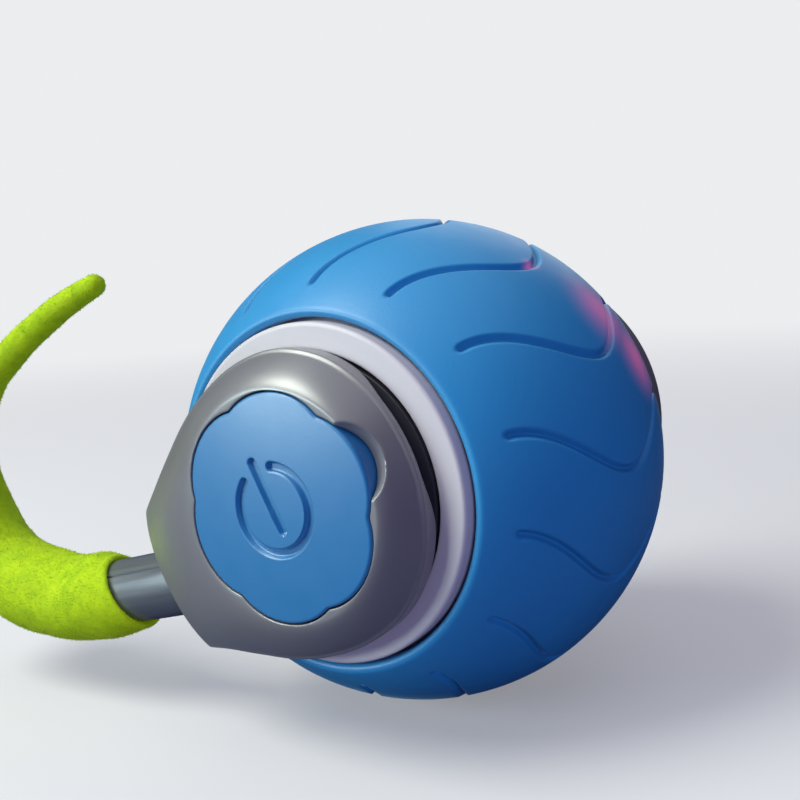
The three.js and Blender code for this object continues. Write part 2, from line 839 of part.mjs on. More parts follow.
function coverSolid(outline, backAngle) {
  const [below, inside] = [coverBottom - overrun, ringTop + clearance];
  const recess = rod(ringRadius + clearance, below, inside, hubSides);
  const far = 2 * ballRadius;
  const pry = wedge(ringRadius, far, backAngle, prySpread, below, coverBottom + pryHeight);
  const at = polar(scoopReach, backAngle);
  const scoop = new THREE.SphereGeometry(scoopRadius, hubSides, hubSides / 2);
  scoop.translate(at.x, at.y, coverRim - scoopDepth + scoopRadius);
  return cut(domedPlate(outline), recess, pry, scoop);
}

const farCentre = polar(farCoverOffset, farCoverAngle);
const farOutline = circle(farCoverRadius, coverSteps, farCentre.x, farCentre.y);
place("far_cover", coverSolid(farOutline, farCoverAngle + 180), farGrey, farSide);

// Bracket: the near cover with a boss under its tail end and a peg for the stem
const pegRadius = stemRadius - stemWall - clearance;

// A rod along the stem's line, in a frame where x runs along that line
function stemRod(radius, from, to, sides = motorSides) {
  return rod(radius, from, to, sides).rotateY(Math.PI / 2).translate(0, stemDrop, stemHeight);
}

const toAxle = (geometry) => geometry.rotateZ(radians(stemAngle));
const sleeveTop = ballRadius * bandReach * cornerFactor(ballSides) + sleeveClearance;
const sweep = new THREE.SphereGeometry(sleeveTop * cornerFactor(hubSides), hubSides, hubSides / 2);
const bossRod = toSolid(toAxle(stemRod(stemRadius, bossReach - bossLength, bossReach)));
const boss = cut(
  bossRod.intersect(toSolid(rod(2 * ballRadius, 0, coverBottom + clearance, 4))),
  sweep,
  rod(faceRadius + clearance, 0, coverBottom, ballSides),
);
const peg = cut(
  toAxle(stemRod(pegRadius, bossReach - stemWall, bossReach + pegLength, screwSides)),
  sweep,
);
const tubeRoom = toAxle(stemRod(stemRadius + clearance, bossReach, bossReach + bossLength));
const nearCover = coverSolid(turnedOutline(teardrop(), coverTailAngle), coverTailAngle + 180);
place("tail_bracket", joined(cut(nearCover, tubeRoom), boss, peg), greyCover);

// Stem: a tube over the peg, cut away over the sleeve, its outer end closed but for the wire's hole
const stemStart = bossReach + clearance;
const stemEnd = stemStart + stemLength;
const stem = cut(
  stemRod(stemRadius, stemStart, stemEnd),
  stemRod(stemRadius - stemWall, stemStart - overrun, stemEnd - stemEndWall),
  stemRod(wireRadius + clearance, stemStart, stemEnd + overrun, screwSides),
  sweep,
);
place("tail_stem", stem, greyStem, stemLine);

// Tail: a middle line that leaves the stem straight and curls up
function stemSpot(reach) {
  const spot = new THREE.Vector3(reach, stemDrop, stemHeight);
  return spot.applyAxisAngle(new THREE.Vector3(0, 0, 1), radians(stemAngle));
}

const tailLine = new THREE.CatmullRomCurve3([
  stemSpot(stemEnd - plushOverlap),
  stemSpot(stemEnd + clearance),
  ...tailShares.map(([out, rise]) => new THREE.Vector3(-out * ballRadius, rise * ballRadius, stemHeight)),
], false, "centripetal");
const tailLength = tailLine.getLength();
const girths = [mouthRadius, swellRadius, ...tailShares.map((share) => share[2] * ballRadius)];

// The plush's radius, which follows the girths and rounds off at the tip
function plushRadius(share) {
  const spot = tailLine.getUtoTmapping(share) * (girths.length - 1);
  const low = Math.min(girths.length - 2, Math.floor(spot));
  const girth = girths[low] + (girths[low + 1] - girths[low]) * (spot - low);
  const left = (1 - share) * tailLength;
  return left < girth ? Math.sqrt(girth ** 2 - (girth - left) ** 2) : girth;
}

function evenShares(from, to, steps) {
  return Array.from({ length: steps + 1 }, (_, i) => from + ((to - from) * i) / steps);
}

// A tube round the tail's line; near its start the rings lean and turn by the given slopes
function tailTube(radiusAt, shares, sides, lean = 0, turn = 0) {
  const vertices = [];
  const flat = new THREE.Vector3(0, 0, 1);
  for (const share of shares) {
    const centre = tailLine.getPointAt(share);
    const along = tailLine.getTangentAt(share);
    const across = along.clone().cross(flat);
    const fade = Math.max(0, 1 - (share * tailLength) / (2 * plushOverlap));
    for (let k = 0; k < sides; k++) {
      const angle = (2 * Math.PI * (k + 0.5)) / sides;
      const radius = radiusAt(share) * cornerFactor(sides);
      const rise = radius * Math.cos(angle);
      const near = radius * Math.sin(angle);
      const spot = centre.clone().addScaledVector(across, rise).addScaledVector(flat, near);
      spot.addScaledVector(along, fade * (lean * rise - turn * near));
      vertices.push(spot.x, spot.y, spot.z);
    }
  }
  return ringsToGeometry(vertices, shares.length, sides);
}

const tipRadius = girths[girths.length - 1];
const tipShare = 1 - tipRadius / tailLength;
const tipEnd = 1 - (tipRadius * tipCutShare) / tailLength;
const plushShares = [
  ...evenShares(0, tipShare, plushSteps),
  ...evenShares(tipShare, tipEnd, tipSteps).slice(1),
];
const plushBody = tailTube(plushRadius, plushShares, plushSides, mouthLean, mouthTurn);
const stemRoom = toAxle(stemRod(stemRadius + clearance, stemStart, stemEnd + clearance));
const boreEnd = wireReachShare + clearance / tailLength;
const boreShares = evenShares(plushOverlap / tailLength, boreEnd, plushSteps);
const wireRoom = tailTube(() => wireRadius + clearance, boreShares, 6);
place("tail_plush", cut(plushBody, stemRoom, wireRoom), limePlush);

const wireStart = stemEnd - stemEndWall - clearance - wireHeadLength;
const wireHead = toAxle(stemRod(wireHeadRadius, wireStart, wireStart + wireHeadLength, screwSides));
const wireShank = toAxle(
  stemRod(wireRadius, wireStart + wireHeadLength / 2, stemEnd + 2 * clearance, 6),
);
const wireShares = evenShares((plushOverlap + clearance) / tailLength, wireReachShare, plushSteps);
const wireLine = tailTube(() => wireRadius, wireShares, 6);
place("tail_wire", joined(wireHead, wireShank, wireLine), steel);

// Gear plate on the far side, with posts that reach the far hub
const plateFar = wheelNear + wheelGap;
const plateNear = plateFar + plateThickness;
const deckTop = motorHeight - motorRadius - clearance;
const deckBottom = deckTop - deckThickness;
const batteryTop = deckBottom - clearance;
const bayFloor = batteryTop - batteryHeight - clearance;
const trayBottom = bayFloor - deckThickness;
const bayHalf = batteryWidth / 2 + clearance;
const trayHalf = bayHalf + trayWall;
const screwSpot = [bayHalf - bossWidth / 2, deckTop + bossWidth / 2];
const plateHoles = [
  circle(shaftRadius + clearance, screwSides, 0, motorHeight),
  circle(axleHole, screwSides, 0, idlerHeight),
  ...[-1, 1].map((side) => circle(screwHole, screwSides, side * screwSpot[0], screwSpot[1])),
];
const postEnd = -floorFar + slip;
const gearPlatePosts = farPostAngles.map((angle) => {
  const at = polar(postCircle, angle);
  return rod(postRadius, postEnd, plateNear, screwSides, at.x, at.y);
});
const gearPlateBore = farPostAngles.map((angle) => {
  const at = polar(postCircle, angle);
  return rod(screwHole, postEnd - overrun, postEnd + screwLength, screwSides, at.x, at.y);
});
const gearPlateDisc = prism(circle(plateRadius, hubSides), plateFar, plateNear, plateHoles);
place("gear_plate", cut(joined(gearPlateDisc, ...gearPlatePosts), ...gearPlateBore), darkHub);

const axleLow = -floorFar - hubFloor / 3;
place("idler_axle", rod(axleRadius, axleLow, plateNear, screwSides, 0, idlerHeight), steel);

// Motor, gearbox and the pinion on its shaft
const gearboxFar = plateNear + slip;
const gearboxNear = gearboxFar + gearboxLength;
const gearboxCase = rod(motorRadius, gearboxFar, gearboxNear, motorSides, 0, motorHeight);
const [shaftLow, shaftHigh] = [gearboxFar - overrun, gearboxFar + shaftDepth + clearance];
const shaftBore = rod(shaftRadius + clearance, shaftLow, shaftHigh, screwSides, 0, motorHeight);
place("motor_gearbox", cut(gearboxCase, shaftBore), steel);
const canFar = gearboxNear + slip;
const boardSeat = boardNear - boardThickness - slip;
const trayPlateNear = boardSeat - shoulderHeight;
const trayNear = trayPlateNear - plateThickness;
const canNear = trayNear - 2 * clearance;
const can = prism(circle(motorRadius, motorSides, 0, motorHeight), canFar, canNear, [], deckThickness / 2);
place("drive_motor", can, steel);
const pinionPhase = up + 180 / motorTeeth;
const pinionTeeth = outsideGear(motorTeeth, motorModule, pinionPhase, 0, motorHeight);
const pinion = prism(pinionTeeth, wheelFar, wheelNear);
const shaft = rod(shaftRadius, wheelFar + slip, gearboxFar + shaftDepth, screwSides, 0, motorHeight);
place("motor_pinion", joined(pinion, shaft), nylon);

// Tray: a deck that cradles the motor, a battery bay, lamp arms, and a plate with posts to the near hub
const trayFar = plateNear + slip;
const cradleInside = motorRadius + clearance;
const cradleOutside = cradleInside + cradleWall;
const bossInside = bayHalf - bossWidth;
const rightSide = [
  [cradleInside, deckTop],
  [cradleInside, motorHeight],
  [cradleOutside, motorHeight],
  [cradleOutside, deckTop],
  [bossInside, deckTop],
  [bossInside, deckTop + bossWidth],
  [bayHalf, deckTop + bossWidth],
  [bayHalf, armTop],
  [trayHalf, armTop],
  [trayHalf, trayBottom],
];
const trayOutline = [
  ...rightSide,
  ...rightSide.map(([x, y]) => [-x, y]).reverse(),
].map(([x, y]) => new THREE.Vector2(x, y));
const bay = rectangle(2 * bayHalf, batteryHeight + 2 * clearance, 0, batteryTop - batteryHeight / 2);
const trayScrewHoles = [-1, 1].map((side) => {
  return circle(screwHole, screwSides, side * screwSpot[0], screwSpot[1]);
});
const trayBody = prism(trayOutline, trayFar, trayNear + slip, [bay, ...trayScrewHoles]);
const windowHole = rectangle(2 * windowHalfWidth, windowHeight, 0, batteryTop - batteryHeight / 2);
const leadHoles = [-1, 1].map((side) =>
  circle(leadRadius + clearance, screwSides, side * motorLeadSpread, motorHeight),
);
const trayDisc = circle(trayPlateRadius, hubSides);
const trayPlate = prism(trayDisc, trayNear, trayPlateNear, [windowHole, ...leadHoles]);
const nearPostEnd = floorFar - slip;
const trayPosts = nearPostAngles.flatMap((angle) => {
  const at = polar(postCircle, angle);
  return [
    rod(shoulderRadius, trayNear, boardSeat, screwSides, at.x, at.y),
    rod(postRadius, trayNear, nearPostEnd, screwSides, at.x, at.y),
  ];
});
const trayPostBores = nearPostAngles.map((angle) => {
  const at = polar(postCircle, angle);
  return rod(screwHole, nearPostEnd - screwLength, nearPostEnd + overrun, screwSides, at.x, at.y);
});
place("chassis_tray", cut(joined(trayBody, trayPlate, ...trayPosts), ...trayPostBores), darkHub);

// Battery in its bay, and the steel weight hung under the tray
const batteryFar = trayFar + slip;
const batteryShape = rectangle(batteryWidth, batteryHeight, 0, batteryTop - batteryHeight / 2);
const batteryNear = trayNear - batteryRoom;
place("battery", prism(batteryShape, batteryFar, batteryNear), batteryWrap);

function weightOutline() {
  const steps = 10;
  const points = [];
  const [top, side] = [trayBottom - slip, trayHalf + clearance];
  const weightRadius = Math.hypot(side, top) + weightWeb;
  const start = radians(down) - Math.asin(weightReach / weightRadius);
  const end = radians(360) - Math.asin(weightRise / weightRadius);
  for (let i = 0; i <= steps; i++) {
    const angle = start + ((end - start) * i) / steps;
    points.push(new THREE.Vector2(weightRadius * Math.cos(angle), weightRadius * Math.sin(angle)));
  }
  const corners = [[side, -weightRise], [side, top], [-weightReach, top]];
  return [...points, ...corners.map(([x, y]) => new THREE.Vector2(x, y))];
}
place("counterweight", prism(weightOutline(), trayFar, trayNear - weightRoom), steel);

// Lamps on the tray's arms, which shine out through the shell
function lampSolid() {
  const rim = lampRadius + lampRim;
  const shoulder = lampLength - lampRadius;
  const foot = [[0, 0], [rim, 0], [rim, lampRimHeight], [lampRadius, lampRimHeight]];
  const profile = [...foot, [lampRadius, shoulder]];
  for (const angle of [30, 60, 90]) {
    const at = polar(lampRadius, angle);
    profile.push([at.x, shoulder + at.y]);
  }
  return turned(profile.map(([r, z]) => [Math.max(0, r), z]), screwSides).rotateY(Math.PI / 2);
}
const lampMiddle = (trayFar + trayNear) / 2;
for (const [name, side, lens] of [["led_red", 1, redLens], ["led_violet", -1, violetLens]]) {
  const lamp = place(name, lampSolid(), lens);
  lamp.position.set(side * (trayHalf + slip), lampLevel, lampMiddle);
  lamp.rotation.y = side > 0 ? 0 : Math.PI;
}

// Leads from the battery and the motor to the board
const batteryMiddle = batteryTop - batteryHeight / 2;
const leadTop = boardSeat;
const batteryLeadLow = batteryNear + slip;
const motorLeadLow = canNear + slip;
const leads = [
  ["battery_lead_red", batteryLeadSpread, batteryMiddle, batteryLeadLow, redWire],
  ["battery_lead_black", -batteryLeadSpread, batteryMiddle, batteryLeadLow, blackWire],
  ["motor_lead_red", motorLeadSpread, motorHeight, motorLeadLow, redWire],
  ["motor_lead_black", -motorLeadSpread, motorHeight, motorLeadLow, blackWire],
];
for (const [name, x, y, low, material] of leads) {
  place(name, rod(leadRadius, low, leadTop, 8, x, y), material);
}

// Charging port on its small board in the far hub
const chargeLow = floorNear + slip;
const chargeHigh = chargeLow + boardThickness;
const chargeShape = rectangle(chargeBoardWidth, portWidth + 2 * slip);
place("charge_board", prism(chargeShape, chargeLow, chargeHigh), boardGreen, farSide);

function stadium(width, height) {
  const steps = 6;
  const radius = width / 2;
  const points = [];
  for (const end of [1, -1]) {
    for (let i = 0; i <= steps; i++) {
      const angle = (Math.PI * i) / steps + (end > 0 ? 0 : Math.PI);
      const y = end * (height / 2 - radius) + radius * Math.sin(angle);
      points.push(new THREE.Vector2(radius * Math.cos(angle), y));
    }
  }
  return points;
}
const portLow = chargeHigh + slip;
const portHigh = capInside - slip;
const tongue = rectangle(tongueThickness, portWidth - 2 * tongueRoom);
const portInside = stadium(portHeight - 2 * portWall, portWidth - 2 * portWall);
const port = joined(
  prism(stadium(portHeight, portWidth), portLow, portHigh, [portInside]),
  prism(stadium(portHeight, portWidth), portLow, portLow + 2 * portWall),
  prism(tongue, portLow + portWall, portHigh - 2 * portWall),
);
place("usb_port", port, steel, farSide);

// Screws: a round head and a shank, pointing into the post
function screwSolid() {
  const head = rod(screwHeadRadius, 0, screwHeadHeight);
  return joined(head, rod(screwRadius, -screwLength, screwHeadHeight / 2));
}

nearPostAngles.forEach((angle, k) => {
  const at = polar(postCircle, angle);
  const screw = place(`near_hub_screw_${k + 1}`, screwSolid(), steel);
  screw.position.set(at.x, at.y, floorNear + slip);
});
farAngles.forEach((angle, k) => {
  const at = polar(postCircle, angle);
  const screw = place(`far_hub_screw_${k + 1}`, screwSolid(), steel, farSide);
  screw.position.set(at.x, at.y, floorNear + slip);
});
[-1, 1].forEach((side, k) => {
  const screw = place(`chassis_screw_${k + 1}`, screwSolid(), steel);
  screw.position.set(side * screwSpot[0], screwSpot[1], plateFar - slip);
  screw.rotation.y = Math.PI;
});

export default catBall;
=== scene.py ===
"""A self rolling cat ball with a plush tail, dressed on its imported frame."""

import math

import bmesh
import bpy
import numpy as np
from mathutils import Matrix, Vector


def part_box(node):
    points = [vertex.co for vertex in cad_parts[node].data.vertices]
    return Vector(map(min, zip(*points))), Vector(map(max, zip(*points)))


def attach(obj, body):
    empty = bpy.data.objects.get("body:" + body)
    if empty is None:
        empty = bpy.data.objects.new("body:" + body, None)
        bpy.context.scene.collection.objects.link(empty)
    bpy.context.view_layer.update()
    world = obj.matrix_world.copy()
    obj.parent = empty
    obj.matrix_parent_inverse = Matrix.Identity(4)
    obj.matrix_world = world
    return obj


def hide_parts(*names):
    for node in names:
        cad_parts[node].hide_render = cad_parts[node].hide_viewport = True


bl_info = {
    "name": "Cat Ball",
    "version": (1, 0, 0),
    "blender": (4, 5, 0),
    "location": "View3D > Sidebar > Cat Ball",
    "description": "Builds a self rolling cat ball with a plush tail on its packed frame",
    "category": "Mesh",
}

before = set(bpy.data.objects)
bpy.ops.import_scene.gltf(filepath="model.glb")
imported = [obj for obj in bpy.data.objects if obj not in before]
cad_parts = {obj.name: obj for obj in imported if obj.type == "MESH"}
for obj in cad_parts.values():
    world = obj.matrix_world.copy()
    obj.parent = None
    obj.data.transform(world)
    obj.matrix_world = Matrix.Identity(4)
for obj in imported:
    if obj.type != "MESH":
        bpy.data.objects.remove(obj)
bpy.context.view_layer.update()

MM = 0.001
SLEEVE_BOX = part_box("tread_sleeve")
BALL_RADIUS = (SLEEVE_BOX[1].z - SLEEVE_BOX[0].z) / 2
CAP_TOP = -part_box("power_button")[0].y
IMAGE = 800  # the photograph's frame, in pixels


# Sizes and colours

def length(name, description, default):
    return bpy.props.FloatProperty(
        name=name, description=description, default=default, unit="LENGTH", subtype="DISTANCE", precision=5
    )


def angle(name, description, degrees):
    return bpy.props.FloatProperty(
        name=name, description=description, default=math.radians(degrees), unit="ROTATION", subtype="ANGLE"
    )


def colour(name, description, default):
    return bpy.props.FloatVectorProperty(
        name=name, description=description, default=default, size=3, min=0, max=1, subtype="COLOR"
    )


class CatBallSizes(bpy.types.PropertyGroup):
    """Sizes of the ball, its covers and its flower caps."""

    ball_radius: length("Ball radius", "Outside of the silicone sleeve", BALL_RADIUS)
    sleeve_wall: length("Sleeve wall", "Thickness of the silicone", 1.5 * MM)
    groove_width: length("Groove width", "Width of one tread groove at half its depth", 0.52 * MM)
    groove_depth: length("Groove depth", "Depth of one tread groove", 0.5 * MM)
    groove_edge: length("Groove edge", "Half the width of the groove's walls", 0.24 * MM)
    groove_count: bpy.props.IntProperty(name="Grooves", description="Tread grooves round the ball", default=14)
    groove_phase: angle("Groove phase", "Where the first groove stands, from the tail side upwards", 85.5)
    cover_gap: length("Cover gap", "Gap between a cover and its flower cap", 0.12 * MM)
    cover_edge: length("Cover edge", "Rounding of the cover's outer edge", 0.28 * MM)
    scoop_radius: length("Scoop radius", "Radius of the finger scoop", 4.1 * MM)
    scoop_depth: length("Scoop depth", "Depth of the finger scoop at the flower", 1.6 * MM)
    symbol_width: length("Symbol width", "Width of the power symbol's lines", 0.72 * MM)
    symbol_depth: length("Symbol depth", "Depth of the power symbol", 0.42 * MM)
    stem_radius: length("Stem radius", "Radius of the tail's tube", 3.1 * MM)


class CatBallPlush(bpy.types.PropertyGroup):
    """Sizes of the plush tail and its pile."""

    lump_height: length("Lumps", "Height of the stuffing's lumps", 0.13 * MM)
    pile_length: length("Pile length", "Length of one fibre", 0.17 * MM)
    pile_width: length("Pile width", "Width of one fibre at its root", 0.025 * MM)
    pile_density: bpy.props.FloatProperty(
        name="Pile density", description="Fibres on a square millimetre", default=16.0, min=0
    )


class CatBallColours(bpy.types.PropertyGroup):
    """Colours of the ball's materials, as linear values."""

    sleeve: colour("Sleeve", "Blue silicone", (0.022, 0.225, 0.48))
    button: colour("Button", "Blue plastic of the flower caps", (0.017, 0.16, 0.37))
    shell: colour("Shell", "White plastic of the flat ring", (0.54, 0.49, 0.51))
    cover: colour("Cover", "Grey plastic of the covers", (0.155, 0.143, 0.153))
    # the far cover is darker and browner than the near one: partly its own brown grey, partly painted shade for
    # the side away from the light
    far_cover: colour("Far cover", "Brown grey of the far cover", (0.125, 0.1, 0.088))
    hub: colour("Hub", "Dark plastic of the hubs", (0.03, 0.03, 0.036))
    stem: colour("Stem", "Grey tube of the tail", (0.19, 0.2, 0.22))
    plush: colour("Plush", "Lime green pile", (0.35, 0.485, 0.006))
    # painted glow: the sleeve's own material gives off this colour, standing in for the light behind it
    glow: colour("Glow", "Red light behind the sleeve", (1.0, 0.08, 0.18))
    floor: colour("Floor", "Pale floor and backdrop", (0.84, 0.85, 0.87))


# Node trees

class Value:
    """A number in a node tree that takes part in Python sums."""

    def __init__(self, graph, socket):
        self.graph = graph
        self.socket = socket

    def sum(self, operation, *others):
        inputs = dict(enumerate((self, *others)))
        return self.graph.value("ShaderNodeMath", inputs, operation=operation)

    def __add__(self, other):
        return self.sum("ADD", other)

    def __sub__(self, other):
        return self.sum("SUBTRACT", other)

    def __rsub__(self, other):
        return (self * -1.0) + other

    def __mul__(self, other):
        return self.sum("MULTIPLY", other)

    def __truediv__(self, other):
        return self.sum("DIVIDE", other)

    def __pow__(self, other):
        return self.sum("POWER", other)

    def __gt__(self, other):
        return self.sum("GREATER_THAN", other)

    __radd__ = __add__
    __rmul__ = __mul__

    def ramp(self, low, high, to_low=0.0, to_high=1.0, kind="SMOOTHSTEP"):
        """This value run from low to high, and held outside them."""
        return self.graph.value("ShaderNodeMapRange", {
            "Value": self, "From Min": low, "From Max": high, "To Min": to_low, "To Max": to_high,
        }, interpolation_type=kind)


class Graph:
    """A node tree that is written as calls."""

    def __init__(self, tree):
        self.tree = tree

    def feed(self, socket, value):
        """Links a value to a socket, or sets it there."""
        source = value.socket if isinstance(value, Value) else value
        if isinstance(source, bpy.types.NodeSocket):
            self.tree.links.new(source, socket)
        elif socket.type == "RGBA" and len(source) == 3:
            socket.default_value = (*source, 1.0)
        else:
            socket.default_value = source

    def node(self, kind, inputs=None, **settings):
        made = self.tree.nodes.new(kind)
        for name, value in settings.items():
            setattr(made, name, value)
        for name, value in (inputs or {}).items():
            self.feed(made.inputs[name], value)
        return made

    def value(self, kind, inputs=None, **settings):
        return Value(self, self.node(kind, inputs, **settings).outputs[0])

    def vector(self, operation, inputs, output=0):
        """What a sum on vectors comes to."""
        return self.node("ShaderNodeVectorMath", inputs, operation=operation).outputs[output]

    def axes(self, place):
        """The three parts of a vector."""
        split = self.node("ShaderNodeSeparateXYZ", {0: place})
        return [Value(self, part) for part in split.outputs]

    def mix(self, share, first, second):
        """A colour between two colours."""
        return self.node("ShaderNodeMix", {0: share, 6: first, 7: second}, data_type="RGBA").outputs[2]


class Finish(Graph):
    """A material on a Principled shader, with patterns on Object coordinates."""

    def __init__(self, name):
        self.material = bpy.data.materials.new(name)
        self.material.use_nodes = True
        super().__init__(self.material.node_tree)
        self.tree.nodes.clear()
        self.place = self.node("ShaderNodeTexCoord").outputs["Object"]
        self.x, self.y, self.z = self.axes(self.place)
        self.shader = self.node("ShaderNodeBsdfPrincipled")
        self.out = self.node("ShaderNodeOutputMaterial", {0: self.shader.outputs[0]})

    def set(self, **inputs):
        for name, value in inputs.items():
            self.feed(self.shader.inputs[name.replace("_", " ").title().replace("Ior", "IOR")], value)
        return self

    def rough(self, pattern, low, high):
        """Roughness that a pattern runs between two values."""
        return self.set(roughness=pattern.ramp(0.3, 0.7, low, high, "LINEAR"))

    def noise(self, scale, detail=2.0, roughness=0.5, stretch=None, place=None):
        place = place or self.place
        if stretch:
            place = self.node("ShaderNodeMapping", {"Vector": place, "Scale": stretch}).outputs[0]
        return self.value("ShaderNodeTexNoise", {
            "Vector": place, "Scale": scale, "Detail": detail, "Roughness": roughness,
        })

    def bump(self, height, distance, strength=1.0):
        made = self.node("ShaderNodeBump", {"Height": height, "Distance": distance, "Strength": strength})
        return self.set(normal=made.outputs[0])


def shade(base, share):
    """A colour made lighter or darker by a share."""
    return tuple(min(1.0, c * share) for c in base)


# Forms

WELD = 0.0001 * MM  # points that lie closer are one


def unit(vector):
    return vector / np.linalg.norm(vector)


def rounded(corners, steps=5, support=0.03 * MM):
    """A closed profile of (out, up, rounding) corners, with an arc at each rounded one."""
    points = []
    count = len(corners)
    for i, (out, up, rounding) in enumerate(corners):
        here = np.array([out, up])
        if rounding == 0:
            points.append(here)
            continue
        before = unit(np.array(corners[i - 1][:2]) - here)
        after = unit(np.array(corners[(i + 1) % count][:2]) - here)
        half = math.acos(max(-1.0, min(1.0, before @ after))) / 2
        reach = rounding / math.tan(half)
        centre = here + unit(before + after) * rounding / math.sin(half)
        start, end = here + before * reach, here + after * reach
        first = math.atan2(*(start - centre)[::-1])
        turn = (math.atan2(*(end - centre)[::-1]) - first + math.pi) % (2 * math.pi) - math.pi
        points.append(start + before * support)
        for k in range(steps + 1):
            at = first + turn * k / steps
            points.append(centre + rounding * np.array([math.cos(at), math.sin(at)]))
        points.append(end + after * support)
    return np.array(points)


def round_off(size, degrees):
    """How far a rounded edge lies from its corner's two sides, at each angle along it."""
    return [(size * (1 - math.cos(a)), size * (1 - math.sin(a))) for a in map(math.radians, degrees)]


def rod(radius, low, high, rounding=0):
    """The profile of a round rod, rounded at its high end."""
    return rounded([(0, low, 0), (radius, low, 0), (radius, high, rounding), (0, high, 0)])


def arc(radius, first, last, count):
    """Points (out, up) of an arc round the origin, between two angles from the axle."""
    return [(radius * math.sin(a), radius * math.cos(a)) for a in np.linspace(first, last, count)]


def even_turns(count):
    """That many directions round the axle."""
    return np.arange(count) * 2 * math.pi / count


def turned(rows, turn):
    """Rows of (out, up) round the axle, each one number or one for every direction."""
    return np.stack([
        np.stack([out * np.cos(turn), out * np.sin(turn), up + 0 * turn], -1) for out, up in rows
    ])


def lathe(profile, sides):
    """A closed profile of (out, up) turned round the axle, as rows of points."""
    return turned(profile, even_turns(sides))


def blurred(values, spread, reach, ends="wrap"):
    """Values smoothed along their line by a bell curve."""
    bell = np.exp(-0.5 * (np.arange(-reach, reach + 1) / spread) ** 2)
    return np.convolve(np.pad(values, reach, ends), bell / bell.sum(), "valid")


def grid_faces(rows, columns, closed_rows):
    """Quads of a grid whose columns run round, and whose rows may run round too."""
    i = np.arange(rows if closed_rows else rows - 1)
    k = np.arange(columns)
    a, b = i[:, None] * columns, (i[:, None] + 1) % rows * columns
    after = (k + 1) % columns
    return np.stack([a + k, a + after, b + after, b + k], -1).reshape(-1, 4)


def to_world(points, far=False):
    """Points of the axle's own frame, outwards along its last axis, put in the row frame."""
    x, up, out = np.moveaxis(np.asarray(points, float), -1, 0)
    if far:
        return np.stack([-x, out, up + BALL_RADIUS], -1)
    return np.stack([x, -out, up + BALL_RADIUS], -1)


def linked(name, data):
    """A new object in the scene."""
    made = bpy.data.objects.new(name, data)
    bpy.context.scene.collection.objects.link(made)
    return made


def solid(name, grid, closed_rows=True, far=False):
    """A mesh object of a grid of points in the axle's frame, welded, facing outwards."""
    return closed_mesh(name, to_world(grid, far).reshape(-1, 3), grid_faces(*grid.shape[:2], closed_rows))


def closed_mesh(name, points, faces):
    mesh = bpy.data.meshes.new(name)
    mesh.from_pydata(points.tolist(), [], faces.tolist())
    work = bmesh.new()
    work.from_mesh(mesh)
    bmesh.ops.remove_doubles(work, verts=work.verts, dist=WELD)
    bmesh.ops.recalc_face_normals(work, faces=work.faces)
    work.to_mesh(mesh)
    work.free()
    mesh.shade_smooth()
    return linked(name, mesh)


def join_meshes(name, parts):
    work = bmesh.new()
    for part in parts:
        work.from_mesh(part.data)
        bpy.data.objects.remove(part)
    mesh = bpy.data.meshes.new(name)
    work.to_mesh(mesh)
    work.free()
    return linked(name, mesh)


def plain_mesh(made):
    """The object with its modifiers worked into one plain mesh."""
    bpy.context.view_layer.update()
    done = bpy.data.meshes.new_from_object(made.evaluated_get(bpy.context.evaluated_depsgraph_get()))
    made.modifiers.clear()
    made.data = done
    done.name = made.name
    return made


def carve(made, cutter, operation="DIFFERENCE"):
    """One exact boolean, worked in at once; the cutter is removed."""
    change = made.modifiers.new("cut", "BOOLEAN")
    change.operation = operation
    change.solver = "EXACT"
    change.object = cutter
    plain_mesh(made)
    bpy.data.objects.remove(cutter)
    made.data.shade_smooth()
    made.data.set_sharp_from_angle(angle=math.radians(38))
    return made


def dress(made, looks, slot, body, *nodes, look=None):
    """The finished piece on its body, in place of its CAD nodes."""
    made.data.materials.clear()
    made.data.materials.append(looks[look or slot])
    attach(made, body)
    if nodes:
        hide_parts(*nodes)
    return made


def smooth(low, high, value):
    share = np.clip((value - low) / (high - low), 0, 1)
    return share * share * (3 - 2 * share)


def polar(radius, degrees):
    return radius * math.cos(math.radians(degrees)), radius * math.sin(math.radians(degrees))


# The flower, the covers and the caps

CAP_CROWN = 0.55 * MM
CAP_RIM = 0.28 * MM
CAP_WALL = 1.9 * MM
CAP_BOTTOM = 15.2 * MM
LOBE_RADIUS = 9.35 * MM
NOTCH_RADIUS = 8.6 * MM
FLOWER_SHARPNESS = 0.62
FLOWER_SOFTNESS = 0.006
SKIRT_RADIUS = 7.75 * MM
BUTTON_STEM = (1.4 * MM, 12.2 * MM)  # its radius and its end
SYMBOL_ROOM = 5.0 * MM
SYMBOL_RADIUS = 3.5 * MM
SYMBOL_BAR = (-1.75 * MM, 4.15 * MM)
SYMBOL_EDGE = 0.07 * MM
SYMBOL_GAP = 27  # degrees, each side of the bar
SYMBOL_ANGLE = 118  # degrees
COVER_BOTTOM = 17.4 * MM
COVER_TOP = CAP_TOP - CAP_CROWN - 0.03 * MM  # round the flower
COVER_EDGE = 19.0 * MM  # the dome's height where it ends
COVER_FULLNESS = 1.6
COVER_LIP = 0.09 * MM
RECESS_RADIUS = 10.9 * MM
RECESS_TOP = 18.2 * MM
SCOOP_REACH = LOBE_RADIUS - 0.1 * MM
SCOOP_EDGE = 0.12 * MM
TAIL_ANGLE = 208.9  # degrees, the way the tail end points
FAR_ANGLE = 147.4  # degrees, seen from the far side
FAR_RADIUS = 14.9 * MM
FAR_OFFSET = 2.3 * MM
PRY_SPREAD = 38  # degrees each side
PRY_HEIGHT = 0.9 * MM
OUTLINE_POINTS = 1200
OUTLINE_BLUR = 1.7  # of the outline's points
